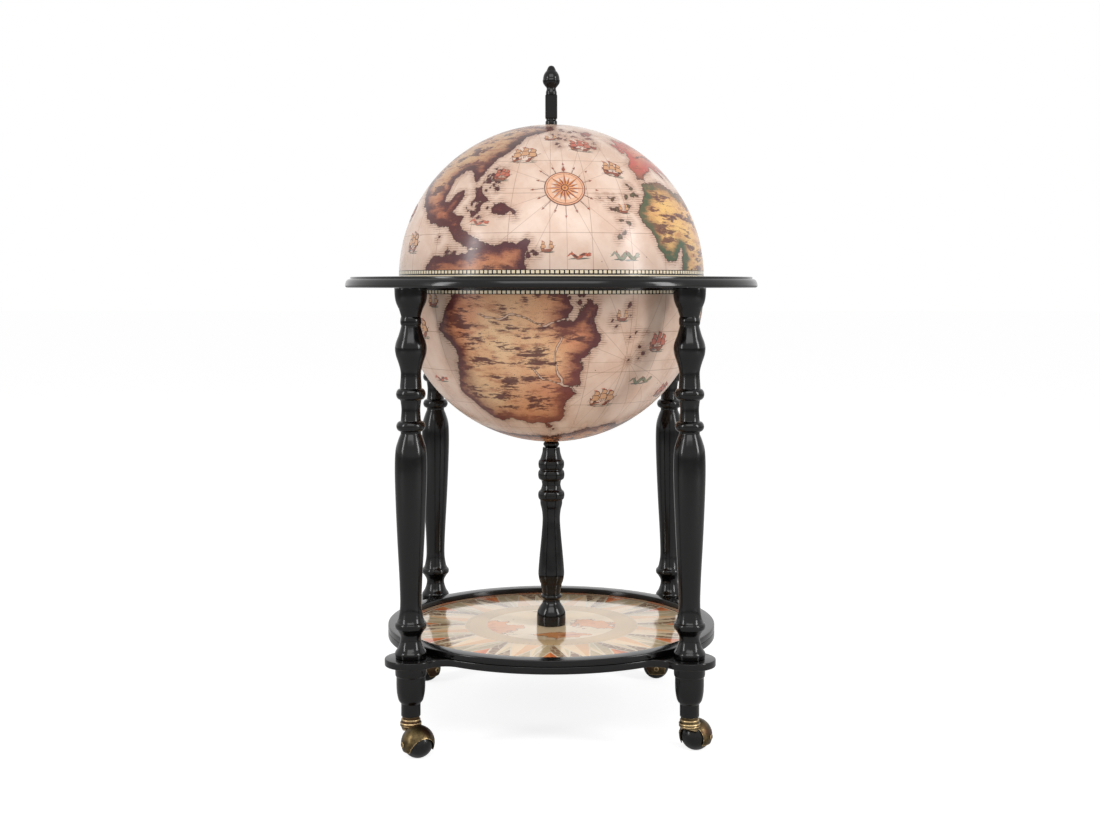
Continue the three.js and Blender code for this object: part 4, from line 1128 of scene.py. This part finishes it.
def figure(name, layers, size, place, lean, half, look):
    """Layers laid on the globe as closed prisms, each a little prouder than the one below."""
    east, north = math.radians(place[0]), math.radians(place[1])
    out = Vector((math.cos(north) * math.sin(east), -math.cos(north) * math.cos(east),
                  math.sin(north)))
    right = Vector((math.cos(east), math.sin(east), 0.0))
    up = out.cross(right)
    turn = Matrix.Rotation(math.radians(lean), 2)
    center = Vector((0, 0, center_of(half)))
    points, faces, colors = [], [], []
    for level, (outline, tone) in enumerate(layers):
        flat = [turn @ Vector(p) * size for p in outline]
        if sum(a.x * b.y - b.x * a.y for a, b in zip(flat, flat[1:] + flat[:1])) < 0:
            flat.reverse()
        ways = [(out + (right * p.x + up * p.y) / GLOBE_RADIUS).normalized() for p in flat]
        sections = [[way * radius + center for way in ways] for radius in (
            GLOBE_RADIUS - FIGURE_ROOT, GLOBE_RADIUS + FIGURE_LIFT + FIGURE_STEP * level)]
        prism, sides = stack(sections)
        faces += [[len(points) + i for i in side] for side in sides]
        points += prism
        colors += [linear(*tone)] * len(prism)
    piece = dressed(name, new_mesh(name, points, faces), look, half.body, 20.0)
    set_values(piece, "ink", colors)


# Cut pieces: caster hoods and balls, and the bottle rack.
CUT_END = 60 * MM
WELD = 0.004 * MM
CUT_BEVEL_DEG, CUT_SHARP_DEG = 38, 32
WEAR_GAIN = 1.6


def lathe_solid(name, outline, place, axis, segments=64):
    """A turned solid about any axis through a place, from (radius, length along it) points."""
    turn = Vector((0, 0, 1)).rotation_difference(Vector(axis)).to_matrix()
    points, faces, _ = lathe(outline, segments)
    points = [Vector(place) + turn @ Vector(p) for p in points]
    return linked(name, new_mesh(name, points, faces))


def rod_solid(name, radius, low, high, place=(0, 0, 0), axis=(0, 0, 1), segments=64):
    return lathe_solid(name, block(0, radius, low, high), place, axis, segments)


def ball_solid(name, radius, place, steps=32):
    outline = [(radius * math.sin(math.pi * i / steps), -radius * math.cos(math.pi * i / steps))
               for i in range(steps + 1)]
    return lathe_solid(name, outline, place, (0, 0, 1), 2 * steps)


def add_bevel(piece, width, least_deg):
    step = piece.modifiers.new("soft_edges", "BEVEL")
    step.width, step.segments, step.limit_method = width, 2, "ANGLE"
    step.angle_limit = math.radians(least_deg)


def carve(name, base, joined, cut, look, body, bevel=0.0):
    """Joins and cuts solids, softens the edges and keeps the result as one piece."""
    for kind, tools in (("UNION", joined), ("DIFFERENCE", cut)):
        for tool in tools:
            step = base.modifiers.new(kind.lower(), "BOOLEAN")
            step.operation, step.object, step.solver = kind, tool, "EXACT"
    if bevel:
        add_bevel(base, bevel, CUT_BEVEL_DEG)
    shape = bpy.context.evaluated_depsgraph_get()
    mesh = bpy.data.meshes.new_from_object(base.evaluated_get(shape))
    for tool in [base, *joined, *cut]:
        bpy.data.objects.remove(tool)
    mesh.name = name
    seal(mesh)
    piece = dressed(name, mesh, look, body, CUT_SHARP_DEG)
    mark_edges(piece)
    return piece


def seal(mesh):
    """Takes out slivers and doubled points that a cut leaves, and closes what stays open."""
    shape = bmesh.new()
    shape.from_mesh(mesh)
    bmesh.ops.remove_doubles(shape, verts=shape.verts, dist=WELD)
    bmesh.ops.dissolve_degenerate(shape, edges=shape.edges, dist=WELD)
    bmesh.ops.holes_fill(shape, edges=[edge for edge in shape.edges if edge.is_boundary], sides=0)
    shape.to_mesh(mesh)
    shape.free()


def mark_edges(piece):
    """Convexity of each vertex, for wear along edges."""
    shape = bmesh.new()
    shape.from_mesh(piece.data)
    turns = [[edge.calc_face_angle_signed(0.0) for edge in vertex.link_edges]
             for vertex in shape.verts]
    shape.free()
    sharpest = [max(turn, default=0.0) for turn in turns]
    set_values(piece, "edge", [max(0.0, min(1.0, turn * WEAR_GAIN)) for turn in sharpest])


BALL_RADIUS = 19 * MM
HOOD_GAP, HOOD_WALL = 1.0 * MM, 1.2 * MM
STEM_HOLE, AXLE_HOLE, AXLE_RADIUS, BORE_END = 4.3 * MM, 2.3 * MM, 2 * MM, 40 * MM
# Radius and heights of the hood's two arches and its open bottom.
ARCH, FRONT_ARCH, REAR_ARCH, HOOD_LOW = (BALL_RADIUS * share for share in (0.86, 0.6, 0.95, 0.5))
COLLAR_DROP, COLLAR_RISE, COLLAR_ROOT = 3.2 * MM, 9.5 * MM, 9 * MM
FLANGE, FLANGE_LOW, FLANGE_HIGH = 11 * MM, 2.9 * MM, 0.3 * MM
# The collar's rings, as radius and rise in millimetres.
COLLAR_RINGS = ((12.7, 0.0), (13.3, 0.4), (13.5, 1.1), (13.1, 1.8), (12.9, 2.3), (13.4, 2.9),
                (13.7, 3.8), (13.4, 4.7), (12.7, 5.3), (12.3, 5.7), (12.2, 6.5), (12.2, 8.3),
                (11.8, 9.1), (11.0, 9.5))


def make_casters(brass, plastic):
    """Hood, ball and axle at each corner, in the places and headings of the CAD nodes."""
    for tag in TAGS:
        low, high, _ = node_size(f"leg_{tag}")
        axis = Vector(((low.x + high.x) / 2, (low.y + high.y) / 2, 0))
        low, high, _ = node_size(f"caster_ball_{tag}")
        ball = (low + high) / 2
        ahead = Vector((ball.x - axis.x, ball.y - axis.y, 0)).normalized()
        side = Vector((-ahead.y, ahead.x, 0))
        ball.z = BALL_RADIUS
        make_hood(tag, axis, ball, ahead, side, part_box(f"foot_{tag}")[0].z, brass)
        make_ball(tag, ball, side, brass, plastic)


def make_hood(tag, axis, ball, ahead, side, foot_bottom, brass):
    """Ball cover with a ringed collar, a low arch in front and a higher one under the collar."""
    top = foot_bottom - COLLAR_DROP
    low = top - COLLAR_RISE
    outline = [(0, low - COLLAR_RISE), (COLLAR_ROOT, low - COLLAR_RISE)]
    outline += [(r * MM, low + z * MM) for r, z in COLLAR_RINGS] + [(0, top)]
    base = lathe_solid("collar", outline, axis, (0, 0, 1))
    cover = ball_solid("cover", BALL_RADIUS + HOOD_GAP + HOOD_WALL, ball)
    middle = Vector((ball.x, ball.y, 0))
    cut = [
        ball_solid("room", BALL_RADIUS + HOOD_GAP, ball),
        rod_solid("arch", ARCH, 0, CUT_END, middle + Vector((0, 0, FRONT_ARCH)), ahead),
        rod_solid("rear_arch", ARCH, 0, CUT_END, middle + Vector((0, 0, REAR_ARCH)), -ahead),
        rod_solid("below", CUT_END, -CUT_END, HOOD_LOW, middle),
        rod_solid("stem_hole", STEM_HOLE, -1 * MM, CUT_END, axis),
        rod_solid("axle_hole", AXLE_HOLE, -CUT_END, CUT_END, ball, side),
    ]
    piece = carve(f"fine_hood_{tag}", base, [cover], cut, brass, f"caster_{tag}", 0.35 * MM)
    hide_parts(f"caster_hood_{tag}")
    flange = block(0, FLANGE, foot_bottom - FLANGE_LOW, foot_bottom - FLANGE_HIGH)
    turned(f"stem_flange_{tag}", softened(flange, 0.6 * MM), brass, "frame", (axis.x, axis.y), 64)


def make_ball(tag, ball, side, brass, plastic):
    """The bored ball, and its axle with a domed head at each end."""
    edge = math.acos(AXLE_HOLE / BALL_RADIUS)
    outline = [polar(BALL_RADIUS, a) for a in np.linspace(-edge, edge, 48)]
    outline = [(0, outline[0][1]), *outline, (0, outline[-1][1])]
    bore = rod_solid("bore", AXLE_HOLE, -BORE_END, BORE_END, ball, side)
    piece = carve(f"fine_ball_{tag}", lathe_solid("ball", outline, ball, side), [], [bore],
                  plastic, f"ball_{tag}", 0.4 * MM)
    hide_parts(f"caster_ball_{tag}")
    reach = BALL_RADIUS + HOOD_GAP + HOOD_WALL + 0.3 * MM
    crown = [(r * MM, reach + z * MM) for r, z in ((3.5, 0), (3.4, 0.5), (2.2, 0.95), (0, 1.0))]
    outline = [(r, -z) for r, z in reversed(crown)]
    outline += [(AXLE_RADIUS, -reach), (AXLE_RADIUS, reach), *crown]
    axle = lathe_solid("axle", outline, ball, side, 40)
    piece = carve(f"fine_axle_{tag}", axle, [], [], brass, f"caster_{tag}")
    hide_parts(f"caster_axle_{tag}")


# Holes of the bottle rack: count, and shares of its radius for their circle and for each hole.
RACK_HOLES = ((3, 0.372, 0.228), (6, 0.768, 0.164))
RACK_OVERCUT = 5 * MM


def make_interior(wood):
    """Bottle rack with its holes, and the floor that the bottles stand on."""
    low, high, size = node_size("bottle_rack")
    radius = size.x / 2
    base = rod_solid("disc", radius, low.z, high.z, segments=160)
    cut = []
    for count, circle, hole in RACK_HOLES:
        for i in range(count):
            angle = TURN * (i + 0.5) / count
            place = (radius * circle * math.sin(angle), -radius * circle * math.cos(angle), 0)
            ends = low.z - RACK_OVERCUT, high.z + RACK_OVERCUT
            cut.append(rod_solid("hole", radius * hole, *ends, place))
    piece = carve("fine_bottle_rack", base, [], cut, wood, "frame", 0.8 * MM)
    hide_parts("bottle_rack")
    make_plain_ring("fine_bottle_floor", "bottle_floor", 0, 0.8 * MM, wood, 128)


HARDWARE_BEVEL, HARDWARE_BEVEL_DEG = 0.25 * MM, 50


def dress_kept_nodes(looks):
    """Materials by slot for the CAD nodes that no finer piece replaces."""
    slots = {row["node"]: row["material_slot"] for row in frame["record"]["subparts"]}
    for node, piece in frame["nodes"].items():
        if not piece.hide_render:
            piece.data.materials.clear()
            piece.data.materials.append(looks[slots[node]][0])


# Stage and light.
FLOOR_HALF = 30.0
FLOOR_GLOW = 0.82
WORLD_DIM = 0.34
# Lamps: name, place, height aimed at over the floor's middle, width, height, watts.
LAMPS = (
    ("softbox_left", (-2.3, -1.4, 1.3), 0.45, 0.4, 1.6, 24),
    ("softbox_right", (2.35, -1.25, 1.3), 0.45, 0.5, 1.6, 33),
    ("softbox_top", (0, -2.1, 2.3), 0.5, 2.4, 1.2, 31),
)


def make_stage():
    """A pale floor that keeps the shadow, and glows where the camera sees it."""
    corners = [(x * FLOOR_HALF, y * FLOOR_HALF, 0) for x, y in ((-1, -1), (1, -1), (1, 1), (-1, 1))]
    floor = linked("floor", new_mesh("floor", corners, [(0, 1, 2, 3)]))
    sh = Shader("floor_paper", color=(0.9, 0.9, 0.9, 1), rough=0.9)
    glow = sh.node("Emission", {"Strength": FLOOR_GLOW})
    shaded = sh.node("BsdfDiffuse", {"Color": (0.5, 0.5, 0.5, 1)})
    seen = sh.node("AddShader", {0: glow.outputs[0], 1: shaded.outputs[0]})
    by_camera = sh.node("LightPath").outputs["Is Camera Ray"]
    blend = sh.node("MixShader", {0: by_camera, 1: sh.surface.outputs[0], 2: seen.outputs[0]})
    sh.feed(sh.tree.nodes["Material Output"].inputs["Surface"], blend.outputs[0])
    floor.data.materials.append(sh.owner)


def make_world():
    """A world that is white to the camera and in reflections, and dimmer as a light."""
    world = bpy.context.scene.world = bpy.data.worlds.new("studio")
    sh = Shader("studio", world)
    sh.tree.nodes.clear()
    path = sh.node("LightPath").outputs
    glossy = sh.calc("MAXIMUM", path["Is Glossy Ray"], path["Is Transmission Ray"])
    seen = sh.calc("MAXIMUM", path["Is Camera Ray"], glossy)
    dim, white = (sh.node("Background", {"Color": (1, 1, 1, 1), "Strength": strength}).outputs[0]
                  for strength in (WORLD_DIM, 1.0))
    sh.node("OutputWorld", {0: sh.node("MixShader", {0: seen, 1: dim, 2: white}).outputs[0]})


def make_lights():
    """Two tall soft boxes in front and one above."""
    for name, place, aim, width, height, watts in LAMPS:
        data = bpy.data.lights.new(name, "AREA")
        data.shape = "RECTANGLE"
        data.size, data.size_y, data.energy = width, height, watts
        lamp = linked(name, data)
        lamp.location = place
        toward = Vector((0, 0, aim)) - Vector(place)
        lamp.rotation_euler = toward.to_track_quat("-Z", "Y").to_euler()


bpy.context.scene.view_settings.view_transform = "Standard"
make_camera()
make_world()
make_lights()
make_stage()

black = (lacquer_material(), "lacquer")
brass = (brass_material(), "brass")
steel = (steel_material(), "steel")
plastic = (ball_material(), "caster_ball")
wood = (stained_wood_material(), "interior_wood")
lining = (lining_material(), "globe_print")
panel = (shelf_print_material(), "panel_print")

make_turned_wood(black)
make_finial(black)
make_ring(black)
make_shelf(black)
make_globe(lining)
make_casters(brass, plastic)
make_interior(wood)
make_plain_ring("printed_panel", "tray_panel", PANEL_HOLE, 0.2 * MM, panel, 192)
for node in ("hinge_leaf_ring", "hinge_leaf_dome", "hinge_pin", "finial_nut"):
    add_bevel(frame["nodes"][node], HARDWARE_BEVEL, HARDWARE_BEVEL_DEG)
dress_kept_nodes({look[1]: look for look in (black, brass, steel, plastic, wood)})
